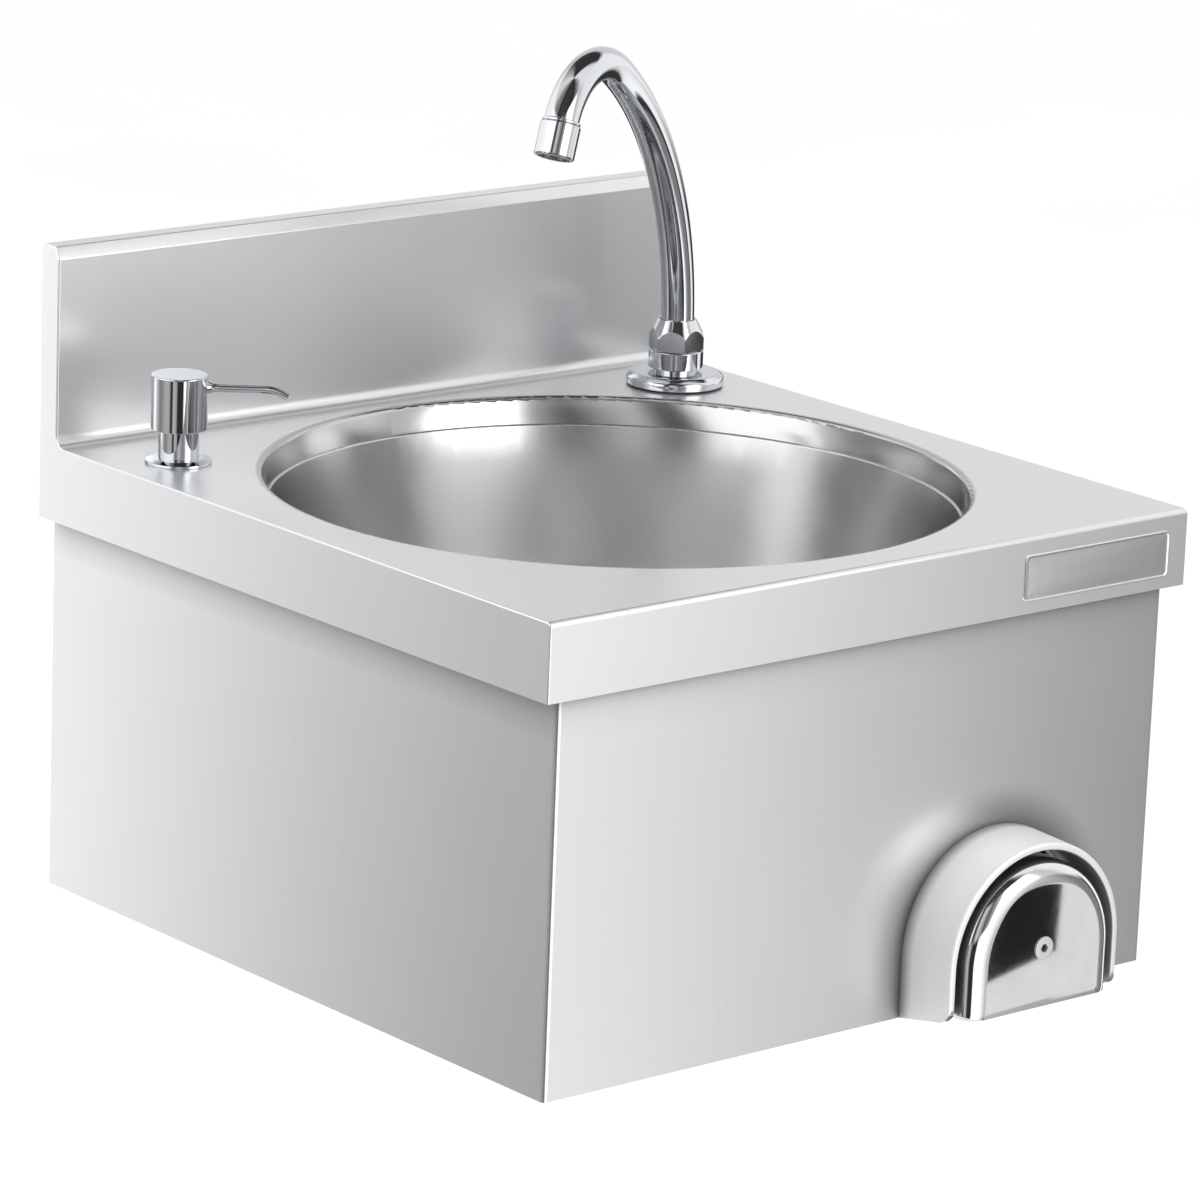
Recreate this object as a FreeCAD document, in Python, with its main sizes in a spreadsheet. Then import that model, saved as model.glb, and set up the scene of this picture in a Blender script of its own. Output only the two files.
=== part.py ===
import FreeCAD, Part
import math
import os
import re
import Sketcher
from FreeCAD import Placement, Rotation, Vector

# Wall-hung stainless steel hand wash sink with a knee-operated tap and a soap pump.
# Millimetres.  The origin is the middle of the four wall bolt holes, on the wall plane.
# +X runs to the user's left-to-right, -Y comes out of the wall to the user, +Z is up.

SIZES = [
    # deck, upstand and skirt: folded sheet
    ("deck_width", 400, "across the deck"),
    ("deck_depth", 400, "from the wall to the front fold"),
    ("deck_level", 130, "top of the deck above the wall fixings"),
    ("sheet", 1.2, "thickness of all folded sheet"),
    ("fold_height", 38, "front and side folds of the deck"),
    ("skirt_height", 192, "skirt showing below the fold"),
    ("front_inset", 5, "skirt behind the front fold"),
    ("side_inset", 10, "skirt inside the side folds"),
    ("splash_height", 100, "upstand above the deck"),
    ("splash_depth", 15, "upstand's box section"),
    ("splash_return", 20, "return flange down the wall"),
    ("bevel_depth", 3, "bevel on the upstand's top, along Y"),
    ("bevel_height", 6, "bevel on the upstand's top, along Z"),
    ("cove", 6, "radius between deck and upstand"),
    ("bend", 2.5, "outside radius of the folds"),
    ("corner", 1, "ground edges along the sides of deck and upstand"),
    ("wall_flange", 28, "rear flanges of the skirt"),
    ("bottom_hem", 12, "return along the skirt's lower edge"),
    ("bolt_inset", 17, "wall bolt holes from the skirt's sides"),
    ("bolt_spacing_z", 120, "wall bolt holes, up and down"),
    ("bolt_hole", 4.5, "radius of a wall bolt hole"),
    ("rail_height", 30, "stiffening rail between the wall flanges"),
    ("rail_depth", 18, "how far the rail stands off the wall"),
    ("rail_drop", 40, "middle of the rail below the deck"),
    # bowl and waste
    ("bowl_offset", 5, "bowl's axis in front of the deck's middle"),
    ("rim_margin", 24, "what the rolled rim leaves of half the deck's narrower way"),
    ("rim_roll", 3, "radius of the rolled rim"),
    ("collar_depth", 14, "drawn collar below the deck"),
    ("collar_draft", 2.5, "how far the collar narrows"),
    ("bowl_ledge", 1.2, "bowl's lip showing inside the collar"),
    ("bowl_lip", 5, "width of the welded lip"),
    ("bowl_depth", 150, "deck to the waste recess"),
    ("bowl_draft", 20, "how far the bowl's wall leans in"),
    ("bowl_corner", 78, "radius between wall and floor"),
    ("floor_fall", 4, "fall of the floor to the waste"),
    ("waste_recess", 3, "depth of the recess for the waste flange"),
    ("waste_flange_radius", 32, "waste flange"),
    ("waste_tube_radius", 20.9, "threaded waste tube"),
    ("waste_bore", 18, "bore of the waste"),
    ("waste_tube_length", 42, "threaded waste tube below the flange"),
    ("waste_clearance", 0.6, "waste fitting in the bowl's hole"),
    ("strainer_radius", 21, "perforated strainer"),
    ("strainer_hole", 2.2, "radius of a strainer hole"),
    ("waste_gasket", 3, "thickness of the rubber gasket"),
    ("waste_nut_radius", 30, "back nut, to its corners"),
    ("waste_nut_height", 9, "back nut"),
    ("tail_radius", 16, "outlet tailpiece"),
    ("tail_length", 34, "tailpiece below the waste tube's coupling"),
    ("coupling_height", 20, "slip nut round the tailpiece"),
    # tap
    ("tap_inset", 43, "tap's axis from the deck's right side"),
    ("tap_setback", 64, "tap's axis from the wall"),
    ("tap_hole", 11, "radius of the tap's deck hole"),
    ("tap_rose_radius", 25.5, "round cover plate"),
    ("tap_rose_height", 6.5, "round cover plate"),
    ("tap_neck", 11.5, "radius between cover plate and body ring"),
    ("tap_ring_radius", 14.3, "body ring under the nut"),
    ("tap_ring_bottom", 9.3, "body ring above the deck"),
    ("tap_ring_top", 19, "body ring above the deck"),
    ("tap_shank", 10, "threaded shank"),
    ("tap_shank_length", 46, "threaded shank below the deck"),
    ("tap_bore", 5, "waterway"),
    ("seal_gap", 1, "thickness of the flat seals"),
    ("clamp_washer", 17, "radius of the clamp washer"),
    ("lock_nut", 15, "radius of the lock nut's corners"),
    ("lock_nut_height", 7, "lock nut"),
    ("spout_nut_flats", 12.6, "half the width across the flats"),
    ("spout_nut_height", 16, "union nut"),
    ("spout_nut_cone", 9, "height of the nut's cone"),
    ("nut_recess", 8, "threaded recess inside the union nut"),
    ("stub_height", 4, "threaded stub of the body inside the nut"),
    ("seal_wire", 0.95, "radius of a rubber ring's section"),
    ("spout_radius", 8.8, "outside of the spout tube"),
    ("spout_wall", 1.2, "wall of the spout tube"),
    ("running_gap", 0.05, "radial clearance of a turning or sliding fit"),
    ("air_gap", 0.4, "clearance between parts that pass each other"),
    ("loose_gap", 0.6, "clearance of a threaded nose or a moving cover"),
    ("spout_start", 30, "straight part of the spout above the deck"),
    ("spout_sweep_radius", 173, "long bend of the swan neck"),
    ("spout_sweep_angle", 58, "degrees of the long bend"),
    ("spout_crook_radius", 40, "tight bend of the swan neck"),
    ("spout_crook_angle", 100, "degrees of the tight bend"),
    ("spout_heading", 203, "degrees from +X towards +Y"),
    ("aerator_radius", 10.2, "aerator housing"),
    ("aerator_length", 17, "aerator housing"),
    ("aerator_bore", 8, "outlet of the aerator"),
    ("cartridge_hole", 0.9, "radius of a jet hole"),
    # soap pump
    ("pump_inset", 34, "pump's axis from the deck's left side"),
    ("pump_setback", 70, "pump's axis from the wall"),
    ("pump_hole", 12.5, "radius of the pump's deck hole"),
    ("pump_flange_radius", 16.5, "flange on the deck"),
    ("pump_flange_height", 3, "flange on the deck"),
    ("pump_shank", 12, "threaded shank through the deck"),
    ("pump_shank_length", 26, "threaded shank below the deck"),
    ("pump_neck_radius", 10, "neck that the head slides over"),
    ("pump_neck_top", 26, "top of the neck above the deck"),
    ("head_radius", 13.9, "pump head"),
    ("head_wall", 1.4, "side wall of the pump head"),
    ("head_roof", 2.5, "top of the pump head"),
    ("head_stop", 2, "pump head above its flange when pressed"),
    ("head_top", 44, "pump head's top above the deck"),
    ("head_travel", 12, "stroke of the pump"),
    ("rod_radius", 3, "hollow piston rod"),
    ("rod_bore", 1.2, "soap way in the rod"),
    ("cylinder_radius", 8, "pump cylinder"),
    ("cylinder_bore", 6, "bore of the pump cylinder"),
    ("cylinder_length", 62, "pump cylinder below the deck"),
    ("piston_height", 6, "piston on the rod"),
    ("piston_drop", 14, "piston's top below the deck, at rest"),
    ("nozzle_drop", 6.3, "nozzle below the head's top"),
    ("nozzle_radius", 2, "nozzle"),
    ("nozzle_bore", 1, "nozzle"),
    ("nozzle_straight", 41, "straight part of the nozzle, from the axis"),
    ("nozzle_bend", 22, "radius of the nozzle's bend"),
    ("nozzle_turn", 32, "degrees of the nozzle's bend"),
    ("nozzle_heading", -39, "degrees from +X towards +Y"),
    ("nozzle_root", 3.6, "radius of the cone at the nozzle's root"),
    ("tube_radius", 3, "dip tube"),
    ("tube_bore", 2, "dip tube"),
    ("bottle_radius", 21, "soap bottle"),
    ("bottle_wall", 1.2, "soap bottle"),
    ("bottle_height", 140, "soap bottle"),
    ("bottle_neck", 14.5, "outside of the bottle's neck"),
    ("bottle_neck_height", 12, "bottle's neck"),
    # knee valve
    ("knee_inset", 104, "knee plate's axis from the skirt's right side"),
    ("knee_rise", 31, "arch centre above the skirt's lower edge"),
    ("stem_rise", 4.5, "valve stem above the arch centre"),
    ("guard_radius", 56.5, "guard at the panel"),
    ("guard_front_radius", 55, "guard at its front edge"),
    ("guard_depth", 33, "guard from the panel"),
    ("guard_wall", 3.6, "guard's wall at its front edge"),
    ("guard_floor", 2.5, "guard's flange on the panel"),
    ("guard_flange", 9, "width of the guard's flange"),
    ("guard_slope", 6, "rise of the guard's feet to the front"),
    ("guard_toe", 6, "rounding of the guard's feet in front"),
    ("guard_edge", 1.7, "rounding of the guard's front edge"),
    ("cap_radius", 46.6, "knee plate"),
    ("cap_front", 38.5, "face of the knee plate from the panel"),
    ("cap_edge", 9, "rounding of the knee plate"),
    ("cap_wall", 1.5, "knee plate's sheet"),
    ("cap_travel", 8, "stroke of the knee plate"),
    ("cap_gap", 6, "knee plate above the skirt's lower edge"),
    ("cap_boss", 10, "radius of the boss behind the plate"),
    ("screw_radius", 5.8, "countersunk screw head"),
    ("screw_rim", 0.8, "how far the screw head stands off the plate"),
    ("screw_socket", 2, "half the width of the hexagon socket"),
    ("screw_thread", 3, "thread radius"),
    ("screw_length", 14, "countersunk screw"),
    ("stem_radius", 5, "valve stem"),
    ("stem_tail", 26, "valve stem behind the panel"),
    ("spring_radius", 8.5, "middle of the return spring's wire"),
    ("spring_wire", 0.9, "radius of the wire"),
    ("spring_turns", 6, "coils of a return spring"),
    ("nose_radius", 12, "threaded nose of the valve"),
    ("nose_length", 13, "threaded nose in front of the panel"),
    ("knee_nut", 16, "radius of the nut's corners"),
    ("knee_nut_height", 5, "nut in front of the panel"),
    ("valve_radius", 17, "valve body"),
    ("valve_length", 44, "valve body behind the panel"),
    ("valve_bore", 9, "piston chamber"),
    ("port_radius", 10.48, "threaded inlet"),
    ("port_length", 16, "threaded inlet"),
    ("port_bore", 7, "waterway of the inlet"),
    ("outlet_radius", 7, "side outlet of the valve"),
    ("outlet_length", 8, "side outlet beyond the valve body"),
    ("pipe_radius", 6, "feed pipe from the valve to the tap"),
    ("pipe_bore", 5, "feed pipe from the valve to the tap"),
    ("pipe_bend", 30, "radius of the feed pipe's bends"),
    ("pipe_nut", 11, "radius of a pipe nut's corners"),
    ("pipe_nut_height", 11, "pipe nut"),
    ("guard_screw", 2, "thread radius of the guard's screws"),
    ("guard_screw_head", 3.6, "head radius of the guard's screws"),
]

doc = FreeCAD.newDocument("HandWashSink")
sheet = doc.addObject("Spreadsheet::Sheet", "Sizes")
ALIASES = set()
for row, (alias, number, meaning) in enumerate(SIZES, 1):
    sheet.set(f"A{row}", alias)
    sheet.set(f"B{row}", str(number))
    sheet.set(f"C{row}", meaning)
    sheet.setAlias(f"B{row}", alias)
    ALIASES.add(alias)
doc.recompute()

# Places that several pieces share, each an expression of the sizes above.
DECK = "deck_level"
SPLASH_TOP = "(deck_level + splash_height)"
FOLD_BOTTOM = "(deck_level - fold_height)"
SKIRT_BOTTOM = "(deck_level - fold_height - skirt_height)"
SKIRT_FRONT = "(deck_depth - front_inset)"
SKIRT_SIDE = "(deck_width / 2 - side_inset)"
UNDER_DECK = "(deck_level - sheet)"
RAIL_LEVEL = "(deck_level - rail_drop)"
BOWL_AXIS = "(deck_depth / 2 + bowl_offset)"
RIM_RADIUS = "(min(deck_width; deck_depth) / 2 - rim_margin)"
COLLAR_RADIUS = f"({RIM_RADIUS} - rim_roll - collar_draft)"
BOWL_FLOOR = "(deck_level - bowl_depth)"
WASTE_SEAT = "(deck_level - bowl_depth - waste_recess)"
TAP_SIDE = "(deck_width / 2 - tap_inset)"
PUMP_SIDE = "(deck_width / 2 - pump_inset)"
KNEE_SIDE = f"({SKIRT_SIDE} - knee_inset)"
KNEE_LEVEL = "(deck_level - fold_height - skirt_height + knee_rise)"
STEM_LEVEL = "(deck_level - fold_height - skirt_height + knee_rise + stem_rise)"
OUTLET_DEPTH = "(-sheet - valve_length / 2)"
STUB_RADIUS = "(spout_radius + spout_wall + seal_gap)"
PIECES = []


def bound(text):
    """An expression with the sheet's name in front of each size."""
    def full_name(word):
        return "Sizes." + word.group() if word.group() in ALIASES else word.group()
    return re.sub(r"[a-z][a-z_]*", full_name, str(text))


def value(text):
    return float(sheet.evalExpression(bound(text)))


def place(piece, x=0, y=0, z=0, turn=None):
    """Put a piece at expressions of the sizes, turned by a fixed rotation."""
    if turn is not None:
        piece.Placement = Placement(Vector(), turn)
    for axis, text in (("x", x), ("y", y), ("z", z)):
        piece.setExpression(f"Placement.Base.{axis}", bound(text))


def keep(piece):
    """List a finished piece for export under its own label."""
    PIECES.append(piece)
    return piece


# ---- sketches -----------------------------------------------------------------------------

def new_sketch(body, name, plane, offset=0):
    origin_plane = [item for item in body.Origin.OriginFeatures if item.Role == plane][0]
    sketch = body.newObject("Sketcher::SketchObject", name)
    sketch.AttachmentSupport = (origin_plane, [""])
    sketch.MapMode = "FlatFace"
    sketch.setExpression("AttachmentOffset.Base.z", bound(offset))
    return sketch


def dimension(sketch, kind, text, *where):
    index = sketch.addConstraint(Sketcher.Constraint(kind, *where, value(text)))
    sketch.setExpression(f"Constraints[{index}]", bound(text))


def locate(sketch, geometry, end, x, y):
    dimension(sketch, "DistanceX", x, -1, 1, geometry, end)
    dimension(sketch, "DistanceY", y, -1, 1, geometry, end)


def round_corner(before, corner, after, radius):
    """Tangent points and centre of an arc that rounds a corner, and whether it turns left."""
    back = (before - corner).normalize()
    ahead = (after - corner).normalize()
    half = back.getAngle(ahead) / 2
    reach = radius / math.tan(half)
    middle = (back + ahead).normalize()
    centre = corner + middle * (radius / math.sin(half))
    turns_left = (-back).cross(ahead).z > 0
    return corner + back * reach, corner + ahead * reach, centre, turns_left


def outline(body, name, plane, corners, offset=0):
    """A closed outline of straight runs; a corner's third value rounds it."""
    sketch = new_sketch(body, name, plane, offset)
    points = [Vector(value(corner[0]), value(corner[1]), 0) for corner in corners]
    count = len(points)
    arcs = {}
    starts = list(points)
    ends = list(points)
    for i, corner in enumerate(corners):
        if len(corner) == 3:
            before = points[i - 1]
            after = points[(i + 1) % count]
            arcs[i] = round_corner(before, points[i], after, value(corner[2]))
            ends[i] = arcs[i][0]
            starts[i] = arcs[i][1]
    lines = []
    for i in range(count):
        run = Part.LineSegment(starts[i], ends[(i + 1) % count])
        lines.append(sketch.addGeometry(run))
    for i, corner in enumerate(corners):
        before = lines[i - 1]
        after = lines[i]
        if i not in arcs:
            sketch.addConstraint(Sketcher.Constraint("Coincident", before, 2, after, 1))
            locate(sketch, after, 1, corner[0], corner[1])
            continue
        first, last, centre, turns_left = arcs[i]
        if not turns_left:
            first, last = last, first
        circle = Part.Circle(centre, Vector(0, 0, 1), (first - centre).Length)
        from_angle = math.atan2(first.y - centre.y, first.x - centre.x)
        to_angle = math.atan2(last.y - centre.y, last.x - centre.x)
        arc = sketch.addGeometry(Part.ArcOfCircle(circle, from_angle, to_angle))
        start_end, far_end = (1, 2) if turns_left else (2, 1)
        sketch.addConstraint(Sketcher.Constraint("Tangent", before, 2, arc, start_end))
        sketch.addConstraint(Sketcher.Constraint("Tangent", arc, far_end, after, 1))
        dimension(sketch, "Radius", corner[2], arc)
        mark = sketch.addGeometry(Part.Point(points[i]), True)
        sketch.addConstraint(Sketcher.Constraint("PointOnObject", mark, 1, before))
        sketch.addConstraint(Sketcher.Constraint("PointOnObject", mark, 1, after))
        locate(sketch, mark, 1, corner[0], corner[1])
    return sketch


def circles(body, name, plane, holes, offset=0):
    """Full circles, each given as x, y and radius."""
    sketch = new_sketch(body, name, plane, offset)
    for x, y, radius in holes:
        centre = Vector(value(x), value(y), 0)
        ring = sketch.addGeometry(Part.Circle(centre, Vector(0, 0, 1), value(radius)))
        locate(sketch, ring, 3, x, y)
        dimension(sketch, "Radius", radius, ring)
    return sketch


def arch(body, name, plane, radius, foot, offset=0):
    """A half circle on two straight legs that end at foot, below the centre."""
    sketch = new_sketch(body, name, plane, offset)
    r = value(radius)
    low = value(foot)
    circle = Part.Circle(Vector(), Vector(0, 0, 1), r)
    crown = sketch.addGeometry(Part.ArcOfCircle(circle, 0, math.pi))
    left = sketch.addGeometry(Part.LineSegment(Vector(-r, 0, 0), Vector(-r, low, 0)))
    base = sketch.addGeometry(Part.LineSegment(Vector(-r, low, 0), Vector(r, low, 0)))
    right = sketch.addGeometry(Part.LineSegment(Vector(r, low, 0), Vector(r, 0, 0)))
    sketch.addConstraint(Sketcher.Constraint("Coincident", crown, 3, -1, 1))
    sketch.addConstraint(Sketcher.Constraint("Tangent", crown, 2, left, 1))
    sketch.addConstraint(Sketcher.Constraint("Coincident", left, 2, base, 1))
    sketch.addConstraint(Sketcher.Constraint("Coincident", base, 2, right, 1))
    sketch.addConstraint(Sketcher.Constraint("Tangent", right, 2, crown, 1))
    sketch.addConstraint(Sketcher.Constraint("Horizontal", base))
    dimension(sketch, "Radius", radius, crown)
    dimension(sketch, "DistanceY", foot, -1, 1, base, 1)
    return sketch


def six_sides(body, name, flats, outer=None, offset=0):
    """A regular hexagon, alone or inside a circle so that a cut leaves the hexagon standing."""
    sketch = new_sketch(body, name, "XY_Plane", offset)
    if outer is not None:
        ring = sketch.addGeometry(Part.Circle(Vector(), Vector(0, 0, 1), value(outer)))
        sketch.addConstraint(Sketcher.Constraint("Coincident", ring, 3, -1, 1))
        dimension(sketch, "Radius", outer, ring)
    reach = value(flats) / math.cos(math.pi / 6)
    corners = []
    for i in range(6):
        angle = math.pi / 3 * i
        corners.append(Vector(reach * math.cos(angle), reach * math.sin(angle), 0))
    sides = []
    for i in range(6):
        sides.append(sketch.addGeometry(Part.LineSegment(corners[i], corners[(i + 1) % 6])))
    for i in range(6):
        sketch.addConstraint(Sketcher.Constraint("Coincident", sides[i - 1], 2, sides[i], 1))
        along = f"({flats}) / cos(30)"
        locate(sketch, sides[i], 1, f"{along} * cos({60 * i})", f"{along} * sin({60 * i})")
    return sketch


# ---- features -----------------------------------------------------------------------------

def new_body(label):
    body = doc.addObject("PartDesign::Body", label)
    body.Label = label
    return body


def pad(body, sketch, length, both_ways=False, reverse=False):
    feature = body.newObject("PartDesign::Pad", sketch.Name + "_pad")
    feature.Profile = sketch
    feature.Midplane = both_ways
    feature.Reversed = reverse
    feature.setExpression("Length", bound(length))
    doc.recompute()
    return feature


def pocket(body, sketch, length, both_ways=False, reverse=False):
    """Cut a sketch out of the body, and stop if nothing was cut."""
    before = body.Shape.Volume
    feature = body.newObject("PartDesign::Pocket", sketch.Name + "_cut")
    feature.Profile = sketch
    feature.Midplane = both_ways
    feature.Reversed = reverse
    feature.setExpression("Length", bound(length))
    doc.recompute()
    if body.Shape.Volume > before - 0.01:
        raise RuntimeError(sketch.Name + " cuts nothing")
    return feature


def turned(body, sketch, kind="PartDesign::Revolution"):
    """Spin a sketch round its own vertical axis."""
    feature = body.newObject(kind, sketch.Name + "_turn")
    feature.Profile = sketch
    feature.ReferenceAxis = (sketch, ["V_Axis"])
    feature.Angle = 360
    doc.recompute()
    return feature


def round_edges(body, radius, wanted):
    """Fillet the edges of the body that the test picks out."""
    edges = []
    for number, edge in enumerate(body.Shape.Edges, 1):
        if wanted(edge):
            edges.append(f"Edge{number}")
    base = body.Tip
    feature = body.newObject("PartDesign::Fillet", body.Label + "_rounding")
    feature.Base = (base, edges)
    feature.setExpression("Radius", bound(radius))
    doc.recompute()
    return feature


def lathe(label, corners):
    """A turned piece from the outline of one side, radius first, height second."""
    body = new_body(label)
    turned(body, outline(body, label + "_profile", "XZ_Plane", corners))
    return body


def disc(label, outer, inner, bottom, top):
    """A flat ring."""
    corners = [(inner, bottom), (outer, bottom), (outer, top), (inner, top)]
    return lathe(label, corners)


def hexagon(label, corner_radius, bore, height):
    """A hexagon nut: a prism less its bore."""
    prism = doc.addObject("Part::Prism", label + "_hexagon")
    prism.Polygon = 6
    prism.setExpression("Circumradius", bound(corner_radius))
    prism.setExpression("Height", bound(height))
    hole = doc.addObject("Part::Cylinder", label + "_bore")
    hole.setExpression("Radius", bound(bore))
    hole.setExpression("Height", bound(height))
    nut = doc.addObject("Part::Cut", label)
    nut.Base = prism
    nut.Tool = hole
    nut.Label = label
    return nut


def group(label, members):
    """Identical small pieces kept as separate solids of one node."""
    compound = doc.addObject("Part::Compound", label)
    compound.Links = members
    compound.Label = label
    return compound


def spring(label, radius, wire, turns, height):
    """A compression spring as one swept wire."""
    helix = doc.addObject("Part::Helix", label + "_helix")
    helix.setExpression("Radius", bound(radius))
    helix.setExpression("Pitch", bound(f"({height} - 2 * {wire}) / {turns}"))
    helix.setExpression("Height", bound(f"{height} - 2 * {wire}"))
    section = doc.addObject("Part::Circle", label + "_wire")
    section.setExpression("Radius", bound(wire))
    section.Placement = Placement(Vector(), Rotation(Vector(1, 0, 0), 90))
    section.setExpression("Placement.Base.x", bound(radius))
    coil = doc.addObject("Part::Sweep", label)
    coil.Sections = [section]
    coil.Spine = (helix, [])
    coil.Solid = True
    coil.Frenet = True
    coil.Label = label
    return coil


# ---- deck, upstand and skirt --------------------------------------------------------------

def make_deck():
    """Deck, upstand, folds and the drawn collar of the bowl: one welded sheet piece."""
    body = new_body("deck_and_upstand")
    silhouette = [
        ("-deck_depth", FOLD_BOTTOM),
        ("0", FOLD_BOTTOM),
        ("0", SPLASH_TOP, "bend"),
        ("-splash_depth + bevel_depth", SPLASH_TOP, "sheet"),
        ("-splash_depth", f"{SPLASH_TOP} - bevel_height", "sheet"),
        ("-splash_depth", DECK, "cove"),
        ("-deck_depth", DECK, "bend"),
    ]
    pad(body, outline(body, "deck_outside", "YZ_Plane", silhouette), "deck_width", both_ways=True)
    side = value("deck_width / 2")
    low = value(FOLD_BOTTOM)

    def side_edge(edge):
        box = edge.BoundBox
        on_side = box.XLength < 0.01 and abs(abs(box.XMin) - side) < 0.01
        at_wall = box.YMin > -0.01
        at_foot = box.ZMax < low + 0.01
        return on_side and not at_wall and not at_foot
    round_edges(body, "corner", side_edge)
    hollow = [
        ("-deck_depth + sheet", f"{FOLD_BOTTOM} + sheet"),
        ("sheet", f"{FOLD_BOTTOM} + sheet"),
        ("sheet", f"{SPLASH_TOP} - splash_return"),
        ("-sheet", f"{SPLASH_TOP} - splash_return"),
        ("-sheet", f"{SPLASH_TOP} - sheet", "bend - sheet"),
        ("-splash_depth + bevel_depth + sheet / 2", f"{SPLASH_TOP} - sheet"),
        ("-splash_depth + sheet", f"{SPLASH_TOP} - bevel_height"),
        ("-splash_depth + sheet", UNDER_DECK, "cove + sheet"),
        ("-deck_depth + sheet", UNDER_DECK, "bend - sheet"),
    ]
    inside = outline(body, "deck_inside", "YZ_Plane", hollow)
    pocket(body, inside, "deck_width - 2 * sheet", both_ways=True)
    underside = [
        (f"-{SKIRT_SIDE}", f"-{SKIRT_FRONT}"),
        (SKIRT_SIDE, f"-{SKIRT_FRONT}"),
        (SKIRT_SIDE, "sheet"),
        (f"-{SKIRT_SIDE}", "sheet"),
    ]
    open_bottom = outline(body, "deck_open_bottom", "XY_Plane", underside, FOLD_BOTTOM)
    pocket(body, open_bottom, "2 * sheet", both_ways=True)
    deck_holes = [
        ("0", f"-{BOWL_AXIS}", f"{RIM_RADIUS} + sheet"),
        (TAP_SIDE, "-tap_setback", "tap_hole"),
        (f"-{PUMP_SIDE}", "-pump_setback", "pump_hole"),
    ]
    pocket(body, circles(body, "deck_holes", "XY_Plane", deck_holes, DECK), "2 * sheet")
    collar = [
        (f"{RIM_RADIUS} + sheet", DECK),
        (f"{RIM_RADIUS} - rim_roll", DECK, "rim_roll"),
        (COLLAR_RADIUS, f"{DECK} - collar_depth"),
        (f"{COLLAR_RADIUS} + sheet", f"{DECK} - collar_depth"),
        (f"{RIM_RADIUS} - rim_roll + sheet", UNDER_DECK, "rim_roll - sheet"),
        (f"{RIM_RADIUS} + sheet", UNDER_DECK),
    ]
    turned(body, outline(body, "deck_collar", "XZ_Plane", collar, BOWL_AXIS))
    return keep(body)


def make_skirt():
    """Left side, front and right side in one folded sheet, with wall flanges and a hem."""
    body = new_body("skirt")
    inner_side = f"{SKIRT_SIDE} - sheet"
    inner_front = f"{SKIRT_FRONT} - sheet"
    flange_end = f"{SKIRT_SIDE} - wall_flange"
    ring = [
        (f"-{SKIRT_SIDE}", "0"),
        (f"-{SKIRT_SIDE}", f"-{SKIRT_FRONT}", "bend"),
        (SKIRT_SIDE, f"-{SKIRT_FRONT}", "bend"),
        (SKIRT_SIDE, "0"),
        (flange_end, "0"),
        (flange_end, "-sheet"),
        (inner_side, "-sheet"),
        (inner_side, f"-({inner_front})", "bend - sheet"),
        (f"-({inner_side})", f"-({inner_front})", "bend - sheet"),
        (f"-({inner_side})", "-sheet"),
        (f"-({flange_end})", "-sheet"),
        (f"-({flange_end})", "0"),
    ]
    walls = outline(body, "skirt_walls", "XY_Plane", ring, SKIRT_BOTTOM)
    pad(body, walls, "fold_height + skirt_height - sheet")
    hem_side = f"{SKIRT_SIDE} - bottom_hem"
    hem_front = f"{SKIRT_FRONT} - bottom_hem"
    hem = [
        (f"-({inner_side})", "-sheet"),
        (f"-({inner_side})", f"-({inner_front})"),
        (inner_side, f"-({inner_front})"),
        (inner_side, "-sheet"),
        (hem_side, "-sheet"),
        (hem_side, f"-({hem_front})"),
        (f"-({hem_side})", f"-({hem_front})"),
        (f"-({hem_side})", "-sheet"),
    ]
    pad(body, outline(body, "skirt_hem", "XY_Plane", hem, SKIRT_BOTTOM), "sheet")
    bolts = []
    for side in ("-", ""):
        for level in ("-", ""):
            across = f"{side}({SKIRT_SIDE} - bolt_inset)"
            bolts.append((across, f"{level}bolt_spacing_z / 2", "bolt_hole"))
    pocket(body, circles(body, "skirt_bolt_holes", "XZ_Plane", bolts), "4 * sheet", both_ways=True)
    front_holes = [(KNEE_SIDE, STEM_LEVEL, "nose_radius + loose_gap")]
    for x, z in guard_screw_places():
        across = f"{KNEE_SIDE} + ({x})"
        front_holes.append((across, f"{KNEE_LEVEL} + ({z})", "guard_screw + air_gap"))
    holes = circles(body, "skirt_front_holes", "XZ_Plane", front_holes, SKIRT_FRONT)
    pocket(body, holes, "4 * sheet", both_ways=True)
    return keep(body)


def make_rail():
    """U-shaped rail between the wall flanges, under the deck."""
    body = new_body("rear_rail")
    section = [
        ("-sheet", f"{RAIL_LEVEL} - rail_height / 2"),
        ("-sheet", f"{RAIL_LEVEL} + rail_height / 2"),
        ("-rail_depth", f"{RAIL_LEVEL} + rail_height / 2", "bend"),
        ("-rail_depth", f"{RAIL_LEVEL} - rail_height / 2", "bend"),
    ]
    rail_length = f"2 * ({SKIRT_SIDE} - sheet)"
    pad(body, outline(body, "rail_outside", "YZ_Plane", section), rail_length, both_ways=True)
    channel = [
        ("0", f"{RAIL_LEVEL} - rail_height / 2 + sheet"),
        ("0", f"{RAIL_LEVEL} + rail_height / 2 - sheet"),
        ("-rail_depth + sheet", f"{RAIL_LEVEL} + rail_height / 2 - sheet"),
        ("-rail_depth + sheet", f"{RAIL_LEVEL} - rail_height / 2 + sheet"),
    ]
    pocket(body, outline(body, "rail_inside", "YZ_Plane", channel), rail_length, both_ways=True)
    return keep(body)


# ---- bowl and waste -----------------------------------------------------------------------

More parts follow.
